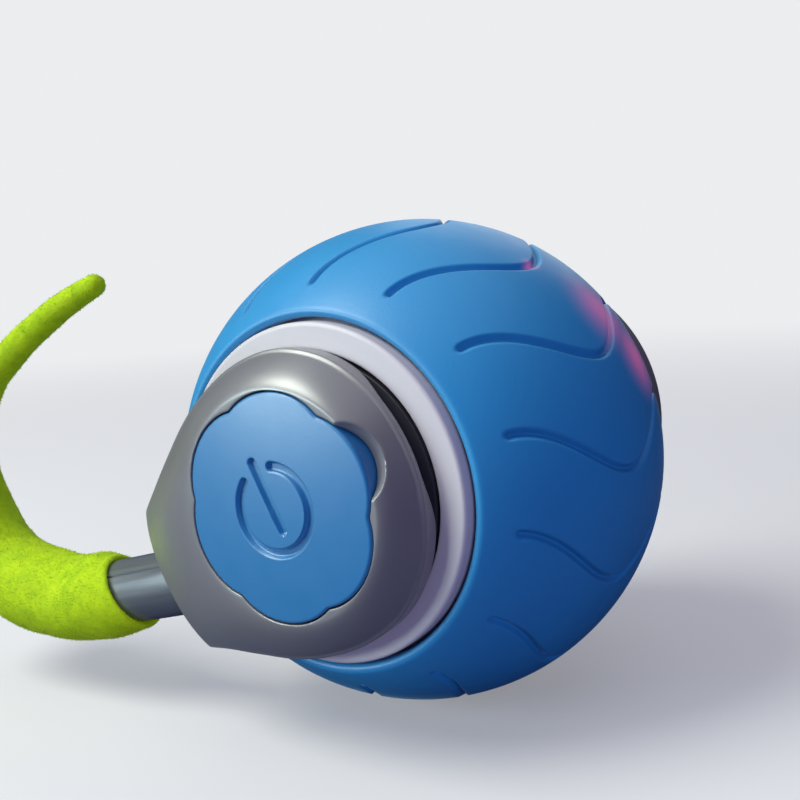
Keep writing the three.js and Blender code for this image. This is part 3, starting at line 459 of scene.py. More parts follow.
# half of the tail end from its middle, then the flank and round to the back, along the tail's
# direction and across it, as shares of the ball's radius
END_SHARES = [(0.82, 0), (0.811, 0.15)]
FLANK_SHARES = [
    (0.788, 0.3), (0.655, 0.345), (0.508, 0.421), (0.352, 0.502), (0.188, 0.548),
    (0, 0.564), (-0.195, 0.521), (-0.37, 0.395), (-0.482, 0.205), (-0.516, 0),
]


def flower(turn, grow=0.0):
    """The flower's radius in each direction: six broad lobes with notches between them."""
    rise = np.sqrt(np.sin(3 * turn) ** 2 + FLOWER_SOFTNESS) ** FLOWER_SHARPNESS
    return NOTCH_RADIUS + (LOBE_RADIUS - NOTCH_RADIUS) * np.minimum(1, rise) + grow


def catmull(points, steps):
    """A centripetal curve through points, with that many steps between two of them."""
    points = np.array(points, float)
    ends = [2 * points[0] - points[1], *points, 2 * points[-1] - points[-2]]
    line = []
    for i in range(1, len(ends) - 2):
        p0, p1, p2, p3 = ends[i - 1:i + 3]
        d0, d1, d2 = (max(1e-9, np.linalg.norm(b - a) ** 0.5) for a, b in ((p0, p1), (p1, p2), (p2, p3)))
        m1 = ((p1 - p0) / d0 - (p2 - p0) / (d0 + d1) + (p2 - p1) / d1) * d1
        m2 = ((p2 - p1) / d1 - (p3 - p1) / (d1 + d2) + (p3 - p2) / d2) * d1
        for k in range(steps):
            t = k / steps
            line.append(
                (2 * t**3 - 3 * t**2 + 1) * p1 + (t**3 - 2 * t**2 + t) * m1
                + (3 * t**2 - 2 * t**3) * p2 + (t**3 - t**2) * m2
            )
    line.append(points[-1])
    return np.array(line)


def teardrop_outline():
    """The near cover's outline: round the back from corner to corner, and a bowed tail end."""
    flank, end = (np.array(shares) * BALL_RADIUS for shares in (FLANK_SHARES, END_SHARES))
    round_back = catmull([*flank, *flank[-2::-1] * (1, -1)], 24)
    loop = np.vstack([round_back, end[:0:-1] * (1, -1), end, round_back[:1]])
    line = evenly(loop, OUTLINE_POINTS, endpoint=False)[0]
    line = np.stack([blurred(line[:, k], OUTLINE_BLUR, 24) for k in (0, 1)], -1)
    turn = math.radians(TAIL_ANGLE)
    return line @ np.array([[math.cos(turn), math.sin(turn)], [-math.sin(turn), math.cos(turn)]])


def evenly(points, count, endpoint=True):
    """That many points spaced evenly along a line, with the lengths along it, old and new."""
    along = np.concatenate([[0], np.cumsum(np.linalg.norm(np.diff(points, axis=0), axis=1))])
    at = np.linspace(0, along[-1], count, endpoint=endpoint)
    return np.stack([np.interp(at, along, part) for part in points.T], -1), along, at


def reach_of(outline, turn):
    """How far out a round outline lies in each direction."""
    around = np.arctan2(outline[:, 1], outline[:, 0]) % (2 * math.pi)
    order = np.argsort(around)
    far = np.hypot(*outline.T)[order]
    return np.interp(turn % (2 * math.pi), around[order], far, period=2 * math.pi)


def cover_grid(sizes, outline, back, turns=640, dome_rows=24):
    """A domed plate round the flower, with its scoop and the pry slot under its back."""
    turn = even_turns(turns)
    edge = sizes.cover_edge
    inner = flower(turn, sizes.cover_gap)
    outer = reach_of(outline, turn)
    start = LOBE_RADIUS + sizes.cover_gap
    span = blurred(outer, turns / 40, turns // 8) - edge - start
    scoop = polar(SCOOP_REACH, back)
    scoop_height = COVER_TOP - sizes.scoop_depth + sizes.scoop_radius

    def scooped(radius, height):
        away = (radius * np.cos(turn) - scoop[0]) ** 2 + (radius * np.sin(turn) - scoop[1]) ** 2
        under = np.sqrt(np.maximum(sizes.scoop_radius**2 - away, 0))
        bowl = np.where(away < sizes.scoop_radius**2, scoop_height - under, 1.0)
        gap = np.clip(0.5 + 0.5 * (bowl - height) / SCOOP_EDGE, 0, 1)
        return bowl * (1 - gap) + height * gap - SCOOP_EDGE * gap * (1 - gap)

    def dome(radius):
        share = np.maximum(0, (radius - start) / span)
        return COVER_TOP - (COVER_TOP - COVER_EDGE) * share**COVER_FULLNESS

    swing = (turn - math.radians(back) + math.pi) % (2 * math.pi) - math.pi
    spread = math.radians(PRY_SPREAD * 0.4), math.radians(PRY_SPREAD)
    bottom = COVER_BOTTOM + PRY_HEIGHT * (1 - smooth(*spread, np.abs(swing)))
    crest = scooped(inner, COVER_TOP)
    rows = [(RECESS_RADIUS, COVER_BOTTOM), (RECESS_RADIUS, RECESS_TOP), (inner, RECESS_TOP)]
    rows += [(inner, RECESS_TOP + (crest - COVER_LIP - RECESS_TOP) * share) for share in (0.02, 0.5, 0.96)]
    rows += [(inner + a, crest - b) for a, b in round_off(COVER_LIP, (30, 60))]
    flat = outer - edge
    for i in range(dome_rows + 1):
        radius = inner + COVER_LIP + (flat - inner - COVER_LIP) * (i / dome_rows)
        rows.append((radius, scooped(radius, dome(radius))))
    brow = dome(flat)
    steep = np.arctan2(1, (COVER_TOP - COVER_EDGE) * COVER_FULLNESS / span)
    for at in (0.2, 0.4, 0.6, 0.8, 1.0):
        bend = steep * (1 - at)
        rise = edge * (np.sin(steep) - np.sin(bend)) / np.sin(steep)
        out = edge * (np.cos(bend) - np.cos(steep)) / (1 - np.cos(steep))
        rows.append((flat + out, brow - rise))
    rows += [(outer, brow - edge + (bottom + COVER_LIP - brow + edge) * share) for share in (0.1, 0.5, 0.9)]
    rows += [(outer - a, bottom + b) for a, b in round_off(COVER_LIP, (30, 60, 90))]
    rows.append((np.maximum(RECESS_RADIUS + 0.3 * MM, outer - 1.0 * MM), bottom))
    rows.append((RECESS_RADIUS + 0.25 * MM, bottom))
    return turned(rows, turn)


def symbol_depth(sizes, x, up):
    """How far the power symbol is sunk at each point."""
    turn = math.radians(SYMBOL_ANGLE)
    along = x * math.cos(turn) + up * math.sin(turn)
    across = -x * math.sin(turn) + up * math.cos(turn)
    bar = np.hypot(across, along - np.clip(along, *SYMBOL_BAR))
    swing = np.abs(np.arctan2(across, along))
    gap = math.radians(SYMBOL_GAP)
    radius = np.hypot(x, up)
    ring = np.abs(radius - SYMBOL_RADIUS)
    end = np.hypot(along - SYMBOL_RADIUS * math.cos(gap), np.abs(across) - SYMBOL_RADIUS * math.sin(gap))
    ring = np.where(swing < gap, end, ring)
    near = np.minimum(bar, ring)
    half = sizes.symbol_width / 2
    return sizes.symbol_depth * (1 - smooth(half - SYMBOL_EDGE, half + SYMBOL_EDGE, near))


def cap_grid(sizes, button, turns):
    """A flower cap: a domed top with a rounded rim, a skirt, and a button's symbol and stem."""
    turn = even_turns(turns)
    edge = flower(turn)

    def top(radius):
        return CAP_TOP - CAP_CROWN * (radius / LOBE_RADIUS) ** 2

    rows = []
    for radius in np.arange(0.0, SYMBOL_ROOM, 0.075 * MM):
        sunk = symbol_depth(sizes, radius * np.cos(turn), radius * np.sin(turn)) if button else 0
        rows.append((radius, top(radius) - sunk))
    for share in np.linspace(0, 1, 16)[1:]:
        ring = SYMBOL_ROOM * (1 - share) + (edge - CAP_RIM) * share
        rows.append((ring, top(ring)))
    crest = top(edge - CAP_RIM)
    rows += [(edge - b, crest - a) for a, b in round_off(CAP_RIM, (15, 30, 45, 60, 75, 90))]
    low = CAP_BOTTOM + 0.2 * MM
    rows += [(edge, crest - CAP_RIM + (low - crest + CAP_RIM) * share) for share in (0.02, 0.5, 0.97)]
    inside = CAP_TOP - CAP_WALL
    rows += [(edge - 0.1 * MM, CAP_BOTTOM), (SKIRT_RADIUS, CAP_BOTTOM), (SKIRT_RADIUS, inside)]
    if button:
        radius, end = BUTTON_STEM
        rows += [(radius, inside), (radius, end)]
        inside = end
    rows.append((0, inside))
    return turned(rows, turn)


# Geometry trees

SOCKETS = {
    float: "NodeSocketFloat", int: "NodeSocketInt", bpy.types.Object: "NodeSocketObject",
    bpy.types.Material: "NodeSocketMaterial",
}


def run_tree(made, name, build, values):
    """Runs a geometry tree with named inputs on an object and keeps its result as a plain mesh.

    Realize Instances and Set Material end every tree.
    """
    tree = bpy.data.node_groups.new(name, "GeometryNodeTree")
    for way in ("OUTPUT", "INPUT"):
        tree.interface.new_socket(name="Geometry", in_out=way, socket_type="NodeSocketGeometry")
    for label, value in values.items():
        socket = tree.interface.new_socket(name=label, in_out="INPUT", socket_type=SOCKETS[type(value)])
        if isinstance(value, (float, int)):
            socket.default_value = value
    graph = Graph(tree)
    given = graph.node("NodeGroupInput").outputs
    real = graph.node("GeometryNodeRealizeInstances", {"Geometry": build(graph, given)})
    dressed = graph.node("GeometryNodeSetMaterial", {
        "Geometry": real.outputs[0], "Material": given["Material"],
    })
    graph.node("NodeGroupOutput", {0: dressed.outputs[0]})
    change = made.modifiers.new(name, "NODES")
    change.node_group = tree
    for item in tree.interface.items_tree:
        if item.name in values:
            change[item.identifier] = values[item.name]
    return plain_mesh(made)


# The sleeve

GROOVE_ENDS = (51.6, 128.4)  # degrees from the near pole, the middles of its round ends
# degrees from the near pole, and how far the groove leads its start there
GROOVE_POINTS = ((50.8, 0.0), (83.3, 15.5), (110.0, 1.4), (129.2, 4.0))
GROOVE_RUNS = [(low, high, to - lead) for (low, lead), (high, to) in zip(GROOVE_POINTS, GROOVE_POINTS[1:])]
COLUMN_EVENNESS = 0.22  # 1 spaces the sleeve's columns evenly, and less draws them to the grooves
LIP_INSIDE = 14.7 * MM
LIP_ROUNDING = 0.5 * MM


def groove_lead(colatitude):
    """How far a groove leads its start, in degrees, at each colatitude in degrees."""
    return sum(rise * smooth(low, high, colatitude) for low, high, rise in GROOVE_RUNS)


def sleeve_profile(sizes, rows=150, inner_rows=16):
    radius, inside = sizes.ball_radius, sizes.ball_radius - sizes.sleeve_wall
    out = LIP_INSIDE + LIP_ROUNDING
    up = math.sqrt((radius - LIP_ROUNDING) ** 2 - out**2)
    tangent, low = math.atan2(out, up), math.asin(LIP_INSIDE / inside)
    lip = [(out + r, up + z) for r, z in arc(LIP_ROUNDING, tangent, -math.pi / 2, 9)[1:]]
    return np.array([
        *arc(radius, tangent, math.pi - tangent, rows), *[(r, -z) for r, z in lip],
        *arc(inside, low, math.pi - low, inner_rows)[::-1], *lip[::-1],
    ])


def sleeve_base(sizes, columns=38):
    """The plain sleeve, its columns laid close along each groove."""
    out, height = sleeve_profile(sizes).T[..., None]
    pitch = 2 * math.pi / sizes.groove_count
    share = np.arange(columns) / columns - 0.5
    offset = pitch * (COLUMN_EVENNESS * share + (1 - COLUMN_EVENNESS) * 4 * share**3)
    base = (np.arange(sizes.groove_count)[:, None] * pitch + offset).ravel() + sizes.groove_phase
    azimuth = base + np.radians(groove_lead(np.degrees(np.arctan2(out, height))))
    return np.stack([-out * np.cos(azimuth), out * np.sin(azimuth), height + 0 * azimuth], -1)


def tread_grooves(graph, given):
    """Carves the tread: each groove is an S from lip to lip, repeated round the ball."""
    radius, wall, width, depth, edge, count, phase = (Value(graph, given[name]) for name in (
        "Ball Radius", "Wall", "Width", "Depth", "Edge", "Count", "Phase"))
    place = graph.node("GeometryNodeInputPosition").outputs[0]
    middle = graph.node("ShaderNodeCombineXYZ", {2: radius}).outputs[0]
    local = graph.vector("SUBTRACT", {0: place, 1: middle})
    far = Value(graph, graph.vector("LENGTH", {0: local}, 1))
    x, y, z = graph.axes(local)
    colatitude = ((y * -1.0) / far).sum("ARCCOSINE") * (180 / math.pi)
    lead = slope = 0.0
    for low, high, rise in GROOVE_RUNS:
        share = colatitude.ramp(low, high, kind="LINEAR")
        lead = share * share * (3.0 - share * 2.0) * rise + lead
        slope = share * (1.0 - share) * (6 * rise / (high - low)) + slope
    pitch = (count ** -1.0) * (2 * math.pi)
    swing = z.sum("ARCTAN2", x * -1.0) - phase - lead * (math.pi / 180)
    swing = swing.sum("WRAP", pitch * 0.5, pitch * -0.5)
    out = (colatitude * (math.pi / 180)).sum("SINE")
    lean = slope * out
    across = swing * out * radius / (lean * lean + 1.0).sum("SQRT")
    first, last = GROOVE_ENDS
    short = (first - colatitude).sum("MAXIMUM", colatitude - last).sum("MAXIMUM", 0.0)
    past = short * (math.pi / 180) * radius
    away = (across * across + past * past).sum("SQRT")
    half = width * 0.5
    sunk = 1.0 - away.ramp(half - edge, half + edge)
    outside = far > (radius - wall * 0.5)
    way = graph.vector("NORMALIZE", {0: local})
    shift = graph.vector("SCALE", {0: way, 3: sunk * outside * depth * -1.0})
    return graph.node("GeometryNodeSetPosition", {"Geometry": given["Geometry"], "Offset": shift}).outputs[0]


# The tail

STEM_ANGLE = 194.0
STEM_DROP = 5.301 * MM
STEM_HEIGHT = 15.201 * MM
STEM_START = 17.3 * MM
STEM_END = 29.0 * MM
STEM_WALL = 0.9 * MM
STEM_HOLE = 0.6 * MM  # in the plug at its end, for the tail's wire
STEM_PLUG = 1.2 * MM
STEM_ROOM = 0.3 * MM  # between the cover and the boss
SEAM_ANGLE = 129  # degrees round from the tube's underside, on the near side
SEAM_DEPTH = 0.13 * MM
SWEEP_RADIUS = 23.25 * MM
BOSS_REACH = 17.0 * MM
BOSS_LENGTH = 4.6 * MM
PEG_LENGTH = 6.0 * MM
PEG_PLAY = 0.15 * MM
RING_ROOM = 14.75 * MM  # what the shell's flat ring turns in, under the boss
PLUSH_OVERLAP = 2.0 * MM
MOUTH_RADIUS = 3.65 * MM
SWELL_RADIUS = 4.25 * MM
MOUTH_LEAN = 0.41
MOUTH_TURN = 0.3
BORE_RADIUS = 3.1 * MM + 0.08 * MM  # round the stem, with room for it
MOUTH_ROUNDING = 0.55 * MM
LUMP_FADE = (3 * MM, 1.5 * MM)  # from the mouth and from the tip, over which the lumps fade
PILE_LEAN = 0.75  # radians, the most that a fibre leans
PILE_SEED = 3
# the middle line away from the ball, upwards, and its girth, as shares of the ball's radius
TAIL_SHARES = [
    (1.42, -0.588, 0.182), (1.6, -0.583, 0.189), (1.77, -0.552, 0.187), (1.92, -0.475, 0.176),
    (2.03, -0.345, 0.163), (2.1, -0.18, 0.149), (2.128, 0, 0.135), (2.096, 0.15, 0.119),
    (2.01, 0.275, 0.1), (1.9, 0.38, 0.082), (1.76, 0.475, 0.067), (1.6, 0.578, 0.06),
    (1.425, 0.675, 0.056), (1.265, 0.75, 0.051), (1.122, 0.806, 0.044),
]


def along_stem(points):
    """Points of the stem's own frame, where x runs out along its line, put in the axle's frame."""
    turn = math.radians(STEM_ANGLE)
    x, up, out = np.moveaxis(np.asarray(points, float), -1, 0)
    up = up + STEM_DROP
    return np.stack([
        x * math.cos(turn) - up * math.sin(turn), x * math.sin(turn) + up * math.cos(turn), out + STEM_HEIGHT,
    ], -1)


def stem_lathe(profile, sides=96, seam=0.0):
    """A closed profile of (out, along) turned round the stem's line, with a seam sunk along it."""
    grid = lathe(profile, sides)
    out = np.hypot(grid[..., 0], grid[..., 1])
    column = round(sides * SEAM_ANGLE / 360)
    sunk = 1 - seam * (out[:, column] > out.max() - STEM_WALL / 2) / out.max()
    grid[:, column, :2] *= sunk[:, None]
    return along_stem(np.stack([grid[..., 2], grid[..., 0], grid[..., 1]], -1))


def ball_cutter(radius, sides=144):
    """A sphere round the ball's centre, to cut with."""
    return solid("cutter", lathe(arc(radius, 0, math.pi, sides // 2), sides), closed_rows=False)


def tail_line(steps=60, count=420):
    """The plush's middle line, evenly spaced, with its girth and its length at each point."""
    shares = [(-a * BALL_RADIUS, b * BALL_RADIUS, STEM_HEIGHT) for a, b, _ in TAIL_SHARES]
    start = along_stem([[STEM_END - PLUSH_OVERLAP, 0, 0], [STEM_END + 0.3 * MM, 0, 0]])
    line = catmull([*start, *shares], steps)
    girths = [MOUTH_RADIUS, SWELL_RADIUS, *[share[2] * BALL_RADIUS for share in TAIL_SHARES]]
    girth = np.interp(np.arange(len(line)) / steps, np.arange(len(girths)), girths)
    line, along, at = evenly(line, count)
    return line, blurred(np.interp(at, along, girth), 6.0, 15, "edge"), at


def lumps(points, seed=4):
    """Slow swells of stuffing, from a few fixed waves."""
    chance = np.random.default_rng(seed)
    total = 0
    for size in (7.0, 4.6, 3.1, 2.1):
        way = chance.normal(size=(3, 3))
        way /= np.linalg.norm(way, axis=1)[:, None]
        for k in range(3):
            total = total + np.sin(points @ way[k] * 2 * math.pi / (size * MM) + chance.uniform(0, 6.28)) * size
    return total / 30


def plush_grid(plush, sides=72):
    """The plush's skin: out along the bore round the stem, round the mouth and on to the tip."""
    line, girth, at = tail_line()
    left = at[-1] - at
    tip = girth[-1]
    girth = np.where(left < tip, np.sqrt(np.maximum(tip**2 - (tip - left) ** 2, 0)), girth)
    tangent = np.gradient(line, axis=0)
    tangent /= np.linalg.norm(tangent, axis=1)[:, None]
    flat = np.array([0, 0, 1.0])
    across = np.cross(tangent, flat)
    fade = np.maximum(0, 1 - at / (2 * PLUSH_OVERLAP))
    turn = 2 * math.pi * (np.arange(sides) + 0.5) / sides

    def ring(i, radius, back=0.0):
        rise, near = radius * np.cos(turn), radius * np.sin(turn)
        spot = line[i] + rise[:, None] * across[i] + near[:, None] * flat
        lean = fade[i] * (MOUTH_LEAN * rise - MOUTH_TURN * near) + back
        return spot + lean[:, None] * tangent[i]

    inner_end = int(np.searchsorted(at, PLUSH_OVERLAP + 0.2 * MM))
    rows = [ring(inner_end, 0.0), *[ring(i, BORE_RADIUS) for i in range(inner_end, 0, -3)]]
    middle = (BORE_RADIUS + girth[0]) / 2
    for bend in np.radians([-180, -150, -120, -90, -60, -30]):
        radius = middle + (girth[0] - BORE_RADIUS) / 2 * math.cos(bend)
        rows.append(ring(0, radius, MOUTH_ROUNDING * math.sin(bend)))
    start = len(rows)
    grid = np.array([*rows, *[ring(i, radius) for i, radius in enumerate(girth)]])
    outer = np.zeros(len(grid))
    outer[start:] = np.minimum(1, np.minimum(at / LUMP_FADE[0], left / LUMP_FADE[1]))
    away = grid - np.concatenate([np.repeat(line[:1], start, 0), line])[:, None, :]
    away /= np.maximum(1e-9, np.linalg.norm(away, axis=2))[..., None]
    return grid + away * (plush.lump_height * lumps(grid) * outer[:, None])[..., None]


def pile_fibres(graph, given):
    """Short fibres over the plush, each leaning its own way."""
    seed = given["Seed"]
    spots = graph.node("GeometryNodeDistributePointsOnFaces", {
        "Mesh": given["Geometry"], "Density": given["Density"], "Seed": seed,
    })
    fibre = graph.node("GeometryNodeMeshCone", {
        "Vertices": 3, "Side Segments": 1,
        "Radius Top": 0.0, "Radius Bottom": given["Width"], "Depth": given["Length"],
    }, fill_type="NONE")
    tilt = graph.node("FunctionNodeRandomValue", {
        0: (-PILE_LEAN, -PILE_LEAN, -3.14), 1: (PILE_LEAN, PILE_LEAN, 3.14), "Seed": seed,
    }, data_type="FLOAT_VECTOR")
    leaning = graph.node("FunctionNodeRotateRotation", {
        "Rotation": spots.outputs["Rotation"], "Rotate By": tilt.outputs[0],
    }, rotation_space="LOCAL")
    size = graph.node("FunctionNodeRandomValue", {2: 0.6, 3: 1.25, "Seed": seed}, data_type="FLOAT")
    return graph.node("GeometryNodeInstanceOnPoints", {
        "Points": spots.outputs["Points"], "Instance": fibre.outputs["Mesh"],
        "Rotation": leaning.outputs[0], "Scale": size.outputs[1],
    }).outputs[0]


# Screws

SCREW_COUNT = 8
SCREW_HEAD = (1.25 * MM, 0.8 * MM)  # radius and height
SCREW_SHANK = (0.6 * MM, 3.6 * MM)  # radius and length
SCREW_CROSS = (0.16 * MM, 0.4 * MM)  # half the width of its arms, and their depth


def screw_mesh(turns=24):
    """One screw: a domed head with a cross recess over a round shank, its axis along z."""
    (head, height), (shank, depth), (arm, sunk) = SCREW_HEAD, SCREW_SHANK, SCREW_CROSS
    turn = even_turns(turns)
    rows = []
    for share in (0.0, 0.2, 0.4, 0.6, 0.8, 0.93):
        ring = head * share
        cross = np.minimum(np.abs(ring * np.cos(turn)), np.abs(ring * np.sin(turn)))
        rows.append((ring, height - 0.12 * MM * share**2 - sunk * (cross < arm) * (share < 0.65)))
    rows += [(head, height * 0.7), (head, 0), (shank, 0), (shank, -depth), (0, -depth)]
    made = closed_mesh("screw", turned(rows, turn).reshape(-1, 3), grid_faces(len(rows), turns, False))
    made.data.set_sharp_from_angle(angle=math.radians(40))
    return made


def screws_on_points(graph, given):
    """Puts the screw on every point, along the point's own facing."""
    source = graph.node("GeometryNodeObjectInfo", {"Object": given["Screw"]})
    facing = graph.node("GeometryNodeInputNamedAttribute", {"Name": "facing"}, data_type="FLOAT_VECTOR")
    aimed = graph.node("FunctionNodeAlignRotationToVector", {"Vector": facing.outputs[0]}, axis="Z")
    points = graph.node("GeometryNodeMeshToPoints", {"Mesh": given["Geometry"]})
    return graph.node("GeometryNodeInstanceOnPoints", {
        "Points": points.outputs[0], "Instance": source.outputs["Geometry"],
        "Rotation": aimed.outputs[0], "Scale": given["Scale"],
    }).outputs[0]


# Materials of this object

BLACK = (0, 0, 0)
# painted glow: spots of red emission on the sleeve, standing in for the light of the LED inside
PAINTED_GLOW_SPOTS = [  # the place and the reach of each, in metres
    (0.0177, 0.0022, 0.0362, 0.0056), (0.0200, 0.0045, 0.0318, 0.0050), (0.0130, -0.0022, 0.0402, 0.0014),
]
SATIN = {"coat_weight": 0.9, "coat_roughness": 0.4}
PEARL = {"coat_weight": 1.0, "coat_roughness": 0.38, "coat_ior": 1.75}
MOULDINGS = {  # colour, roughness, depth of the grain in mm, its scale, clouds in the colour, coat
    "blue_plastic": ("button", 0.4, 0.008, 3000, 0.04, SATIN),
    "white_shell": ("shell", 0.42, 0.01, 2800, 0.03, {}),
    "grey_cover": ("cover", 0.38, 0.006, 3600, 0.05, PEARL),
    # the far cover's grey is darkened with painted shade
    "far_grey": ("far_cover", 0.38, 0.006, 3600, 0.05, PEARL),
    "dark_hub": ("hub", 0.5, 0.02, 2400, 0.1, {}),
    "black_plastic": ((0.02, 0.021, 0.025), 0.55, 0.02, 2400, 0.12, {}),
    "red_plastic": ((0.56, 0.016, 0.024), 0.42, 0.01, 2400, 0.06, {}),
    "nylon": ((0.78, 0.76, 0.66), 0.45, 0.01, 2000, 0.04, {}),
}


def moulded(name, base, roughness, grain, grain_scale, cloud, coat):
    """Moulded plastic: slow clouds in its colour and gloss, and a fine sparked grain."""
    made = Finish(name)
    made.set(base_color=made.mix(made.noise(90, 3.0), shade(base, 1 - cloud), shade(base, 1 + cloud)))
    made.rough(made.noise(520, 4.0, 0.6), roughness - 0.05, roughness + 0.05)
    made.bump(made.noise(grain_scale), grain * MM)
    return made.set(**coat).material


def sleeve_finish(base, glow_colour):
    """Satin silicone with slow clouds in its colour, and a red glow painted on one side, where light from
    inside would show through.
    """
    made = Finish("blue_silicone")
    made.set(base_color=made.mix(made.noise(75, 3.0), shade(base, 0.93), shade(base, 1.07)))
    made.rough(made.noise(420, 4.0, 0.6), 0.42, 0.5)
    made.bump(made.noise(3400), 0.000012)
    # painted glow: the sleeve itself gives off red light at these spots, fixed to it
    glow = None
    for x, y, z, size in PAINTED_GLOW_SPOTS:
        near = (made.x - x) ** 2.0 + (made.y - y) ** 2.0 + (made.z - z) ** 2.0
        spot = near.sum("SQRT").ramp(0.0, size, 1.0, 0.0)
        glow = spot if glow is None else glow.sum("MAXIMUM", spot)
    strength = glow * 0.2 + glow * glow * 0.1
    made.set(emission_color=made.mix(strength, BLACK, glow_colour), emission_strength=1.0)
    made.set(sheen_weight=0.28, sheen_roughness=0.16, sheen_tint=(0.55, 0.85, 1.0))
    return made.set(coat_weight=0.12, coat_roughness=0.3).material


def stem_finish(base):
    """A satin tube with fine drawn lines along it."""
    made = Finish("grey_stem")
    along = made.node("ShaderNodeMapping", {
        "Vector": made.place, "Rotation": (0.0, -math.radians(STEM_ANGLE), 0.0),
    }, vector_type="TEXTURE")
    lines = made.noise(1500.0, 3.0, stretch=(0.06, 1.0, 1.0), place=along.outputs[0])
    made.set(base_color=made.mix(lines, shade(base, 0.78), shade(base, 1.22)))
    made.rough(lines, 0.28, 0.42).bump(lines, 0.00001)
    return made.set(metallic=0.6, coat_weight=0.1).material


def plush_finish(base, name="lime_plush", light=1.0):
    """Short dense pile: mottled, darker between its tufts, with a faint painted glow."""
    made = Finish(name)
    tufts = made.noise(900, 3.0, 0.6)
    mottle = made.noise(260, 3.0, 0.55)
    slow = made.noise(85)
    deep = (base[0] * 0.72, base[1] * 0.8, base[2] * 0.9)
    high = (base[0] * 1.25, base[1] * 1.13, base[2] * 1.6)
    # light: a share by which every colour is lifted as painted light; above 1 it makes up for the shade between
    # fibres
    fine = made.mix(tufts.ramp(0.35, 0.68), shade(deep, light), shade(base, light))
    made.set(base_color=made.mix(mottle.ramp(0.4, 0.72, 0.0, 0.55), fine, shade(high, light)))
    made.rough(slow, 0.82, 0.94)
    made.bump(tufts * 0.6 + mottle * 0.4, 0.00016, 0.8)
    # painted glow: the plush gives off a faint light of its own colour, lifting its shaded side
    made.set(emission_color=made.mix(slow, BLACK, shade(base, 1.4)), emission_strength=0.24)
    made.set(sheen_weight=0.1, sheen_roughness=0.4, sheen_tint=(0.8, 1.0, 0.1))
    return made.set(specular_ior_level=0.2).material


def steel_finish():
    """Plain turned steel with fine lines."""
    made = Finish("steel")
    lines = made.noise(1400, 3.0, stretch=(1.0, 0.08, 1.0))
    made.set(base_color=made.mix(lines, (0.42, 0.44, 0.46), (0.55, 0.57, 0.6)), metallic=1.0)
    return made.rough(lines, 0.25, 0.42).bump(lines, 0.000008).material


def board_finish():
    """Solder resist over copper tracks."""
    made = Finish("board")
    tracks = made.value("ShaderNodeTexWave", {
        "Vector": made.place, "Scale": 260.0, "Distortion": 6.0, "Detail": 1.0,
    }, wave_type="BANDS", bands_direction="DIAGONAL")
    lines = tracks.ramp(0.45, 0.55)
    made.set(base_color=made.mix(lines, (0.012, 0.13, 0.052), (0.02, 0.2, 0.085)))
    made.set(roughness=lines.ramp(0.0, 1.0, 0.4, 0.3, "LINEAR"))
    return made.bump(lines, 0.00003).material


def wrap_finish():
    """Crinkled foil of the cell."""
    made = Finish("cell_wrap")
    folds = made.noise(600, 5.0, 0.65)
    made.set(base_color=made.mix(folds, (0.28, 0.33, 0.43), (0.4, 0.45, 0.55)), metallic=0.6)
    return made.rough(folds, 0.25, 0.45).bump(folds, 0.00006).material


def lens_finish(name, base):
    """Tinted clear resin that glows from inside."""
    made = Finish(name)
    core = made.noise(700).ramp(0.3, 0.7, 0.75, 1.0)
    made.set(base_color=made.mix(core, shade(base, 0.7), base), roughness=0.12)
    return made.set(emission_color=made.mix(core, BLACK, base), emission_strength=1.5).material


FINISHES = {}


def finishes(context):
    """Every material by its name, made once."""
    if FINISHES:
        return FINISHES
    colours = context.scene.cat_ball_colours
    for name, (base, *values) in MOULDINGS.items():
        base = getattr(colours, base) if isinstance(base, str) else base
        FINISHES[name] = moulded(name, base, *values)
    FINISHES.update({
        "blue_silicone": sleeve_finish(colours.sleeve, colours.glow),
        "grey_stem": stem_finish(colours.stem),
        "lime_plush": plush_finish(colours.plush),
        # the pile takes the plush's colours made 5% lighter, as painted light against the shade between its
        # fibres
        "lime_pile": plush_finish(colours.plush, "lime_pile", 1.05),
        "steel": steel_finish(),
        "board": board_finish(),
        "cell_wrap": wrap_finish(),
        "red_lens": lens_finish("red_lens", (1.0, 0.03, 0.09)),
        "violet_lens": lens_finish("violet_lens", (0.25, 0.07, 1.0)),
    })
    return FINISHES


# Operators

class CATBALL_OT_sleeve(bpy.types.Operator):
    """Build the silicone sleeve with its tread grooves"""

    bl_idname = "catball.sleeve"
    bl_label = "Tread sleeve"

    def execute(self, context):
        sizes, looks = context.scene.cat_ball_sizes, finishes(context)
        made = solid("tread", sleeve_base(sizes))
        run_tree(made, "Tread grooves", tread_grooves, {
            "Ball Radius": sizes.ball_radius, "Wall": sizes.sleeve_wall, "Width": sizes.groove_width,
            "Depth": sizes.groove_depth, "Edge": sizes.groove_edge, "Count": float(sizes.groove_count),
            "Phase": sizes.groove_phase, "Material": looks["blue_silicone"],
        })
        made.data.shade_smooth()
        dress(made, looks, "blue_silicone", "rolling_shell", "tread_sleeve")
        return {"FINISHED"}


def shell_profile():
    """One half of the white shell, from the joint to the flat ring and its seat, rounded."""
    outside, inside = 20.7 * MM, 19.5 * MM
    face, neck, bore = 17.1 * MM, 14.4 * MM, 12.0 * MM
    seat_top, seat_bottom, seat, seat_out = 15.9 * MM, 13.2 * MM, 11.8 * MM, 12.9 * MM
    gap = 0.05 * MM
    joint = math.pi / 2 - 0.003
    dome = arc(outside, joint, math.asin(neck / outside), 26)
    hollow = arc(inside, math.asin(seat_out / inside), joint, 26)
    return rounded([
        (outside, gap, 0), *[(r, z, 0) for r, z in dome],
        (neck, face, 0.34 * MM), (bore, face, 0.22 * MM), (bore, seat_top, 0.05 * MM),
        (seat, seat_top, 0.05 * MM), (seat, seat_bottom, 0.1 * MM), (seat_out, seat_bottom, 0.1 * MM),
        *[(r, z, 0) for r, z in hollow], (inside, gap, 0),
    ])


